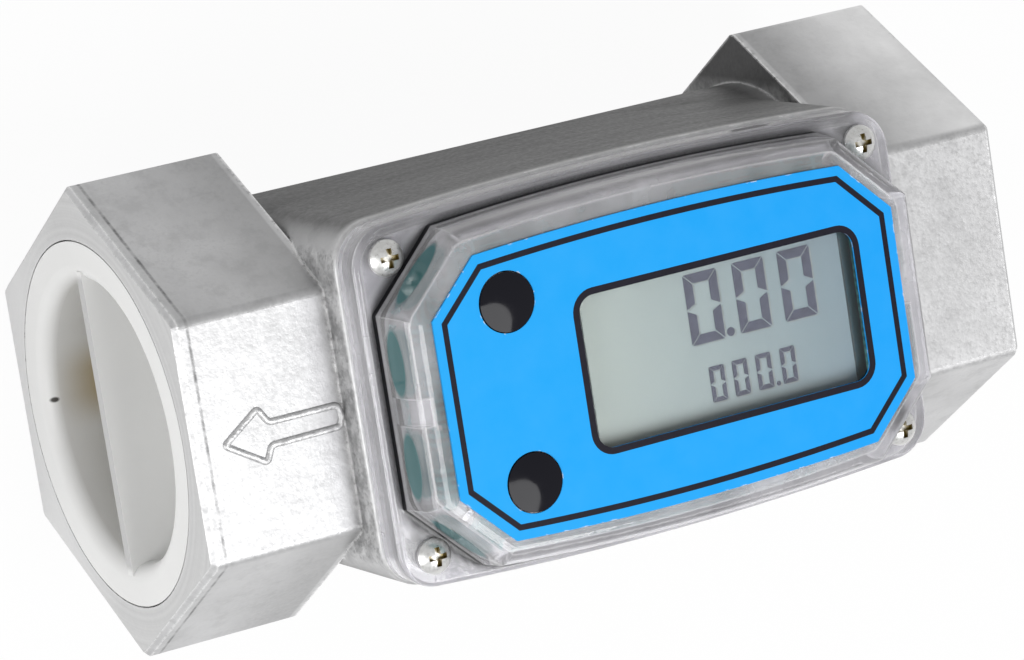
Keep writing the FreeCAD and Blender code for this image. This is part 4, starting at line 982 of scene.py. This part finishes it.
# ---------------------------------------------------------------- stage

def add_lamp(name, place, size, power):
    """A round soft lamp that shines at the middle of the meter."""
    data = bpy.data.lights.new(name, "AREA")
    data.shape = "DISK"
    data.size = size
    data.energy = power
    lamp = bpy.data.objects.new(name, data)
    lamp.location = place
    target = Vector((0, 0, 0.03))
    lamp.rotation_euler = (target - Vector(place)).to_track_quat("-Z", "Y").to_euler()
    bpy.context.scene.collection.objects.link(lamp)


def add_camera():
    """Looks down on the display from its lower left, through a long lens."""
    data = bpy.data.cameras.new("camera")
    data.sensor_width = 36.0
    data.sensor_fit = "HORIZONTAL"
    data.lens = 174.88
    data.clip_start = 0.01
    camera = bpy.data.objects.new("camera", data)
    right = Vector((0.8673, -0.1529, 0.4737))
    down = Vector((-0.2206, -0.9712, 0.0904))
    ahead = Vector((0.4462, -0.1829, -0.8760))
    turned = Matrix((right, -down, -ahead)).transposed().to_4x4()
    camera.matrix_world = Matrix.Translation((-0.30697, 0.12427, 0.62886)) @ turned
    bpy.context.scene.collection.objects.link(camera)
    bpy.context.scene.camera = camera


def ray_share(tree, shares):
    """A value by kind of ray: the largest given share among the kinds that a ray is."""
    path = tree.nodes.new("ShaderNodeLightPath")
    largest = None
    for kind, share in shares.items():
        part = tree.nodes.new("ShaderNodeMath")
        part.operation = "MULTIPLY"
        tree.links.new(path.outputs[kind], part.inputs[0])
        part.inputs[1].default_value = share
        if largest is None:
            largest = part.outputs[0]
            continue
        most = tree.nodes.new("ShaderNodeMath")
        most.operation = "MAXIMUM"
        tree.links.new(part.outputs[0], most.inputs[0])
        tree.links.new(largest, most.inputs[1])
        largest = most.outputs[0]
    return largest


def floor_material():
    """Pale floor, nearly white to the camera, that still takes the meter's shadow."""
    material = bpy.data.materials.new("floor")
    material.use_nodes = True
    tree = material.node_tree
    tree.nodes.clear()
    matt = tree.nodes.new("ShaderNodeBsdfDiffuse")
    matt.inputs["Color"].default_value = (0.88, 0.88, 0.88, 1.0)
    white = tree.nodes.new("ShaderNodeEmission")
    mixed = tree.nodes.new("ShaderNodeMixShader")
    share = ray_share(tree, {"Is Camera Ray": 0.95, "Is Transmission Ray": 0.5,
                             "Is Glossy Ray": 0.3})
    tree.links.new(share, mixed.inputs["Fac"])
    tree.links.new(matt.outputs["BSDF"], mixed.inputs[1])
    tree.links.new(white.outputs["Emission"], mixed.inputs[2])
    out = tree.nodes.new("ShaderNodeOutputMaterial")
    tree.links.new(mixed.outputs["Shader"], out.inputs["Surface"])
    return material


def add_floor():
    """A wide floor at the height that the meter rests on."""
    mesh = bmesh.new()
    bmesh.ops.create_grid(mesh, x_segments=1, y_segments=1, size=3.0)
    data = bpy.data.meshes.new("floor")
    mesh.to_mesh(data)
    mesh.free()
    data.materials.append(floor_material())
    floor = bpy.data.objects.new("floor", data)
    bpy.context.scene.collection.objects.link(floor)


def set_world():
    """Even grey surroundings that the camera, metal and glass see paler."""
    world = bpy.data.worlds.new("studio")
    world.use_nodes = True
    tree = world.node_tree
    back = tree.nodes["Background"]
    back.inputs["Color"].default_value = (1.0, 1.0, 1.0, 1.0)
    share = ray_share(tree, {"Is Camera Ray": 1.0, "Is Transmission Ray": 0.85,
                             "Is Glossy Ray": 0.5, "Is Diffuse Ray": 0.38})
    tree.links.new(share, back.inputs["Strength"])
    bpy.context.scene.world = world


class METER_OT_stage(Operator):
    """Adds the floor, the soft lamps and the camera"""

    bl_idname = "meter.stage"
    bl_label = "Stage"

    def execute(self, context):
        add_floor()
        add_camera()
        set_world()
        add_lamp("key_lamp", (0.10, -0.38, 0.83), 0.6, 5.2)
        add_lamp("fill_lamp", (-0.75, -0.2, 0.45), 0.5, 2.5)
        context.scene.view_settings.view_transform = "Standard"
        return {"FINISHED"}


# ---------------------------------------------------------------- panel and main

BUILD_STEPS = (
    METER_OT_casting,
    METER_OT_turbine,
    METER_OT_cover,
    METER_OT_label,
    METER_OT_display,
    METER_OT_buttons,
    METER_OT_electronics,
    METER_OT_stage,
)


class METER_PT_panel(Panel):
    """Sizes, colours and building steps of the flow meter"""

    bl_idname = "METER_PT_panel"
    bl_label = "Flow Meter"
    bl_space_type = "VIEW_3D"
    bl_region_type = "UI"
    bl_category = "Flow Meter"

    def draw(self, context):
        layout = self.layout
        for group in (context.scene.meter_sizes, context.scene.meter_colours):
            box = layout.box()
            for name in group.bl_rna.properties.keys():
                if name not in {"rna_type", "name"}:
                    box.prop(group, name)
        for step in BUILD_STEPS:
            layout.operator(step.bl_idname)


CLASSES = (MeterSizes, MeterColours, *BUILD_STEPS, METER_PT_panel)


def register():
    for cls in CLASSES:
        bpy.utils.register_class(cls)
    bpy.types.Scene.meter_sizes = PointerProperty(type=MeterSizes)
    bpy.types.Scene.meter_colours = PointerProperty(type=MeterColours)


def unregister():
    del bpy.types.Scene.meter_colours
    del bpy.types.Scene.meter_sizes
    for cls in reversed(CLASSES):
        bpy.utils.unregister_class(cls)


def main():
    register()
    for step in BUILD_STEPS:
        group, name = step.bl_idname.split(".")
        getattr(getattr(bpy.ops, group), name)()


if __name__ == "__main__":
    main()
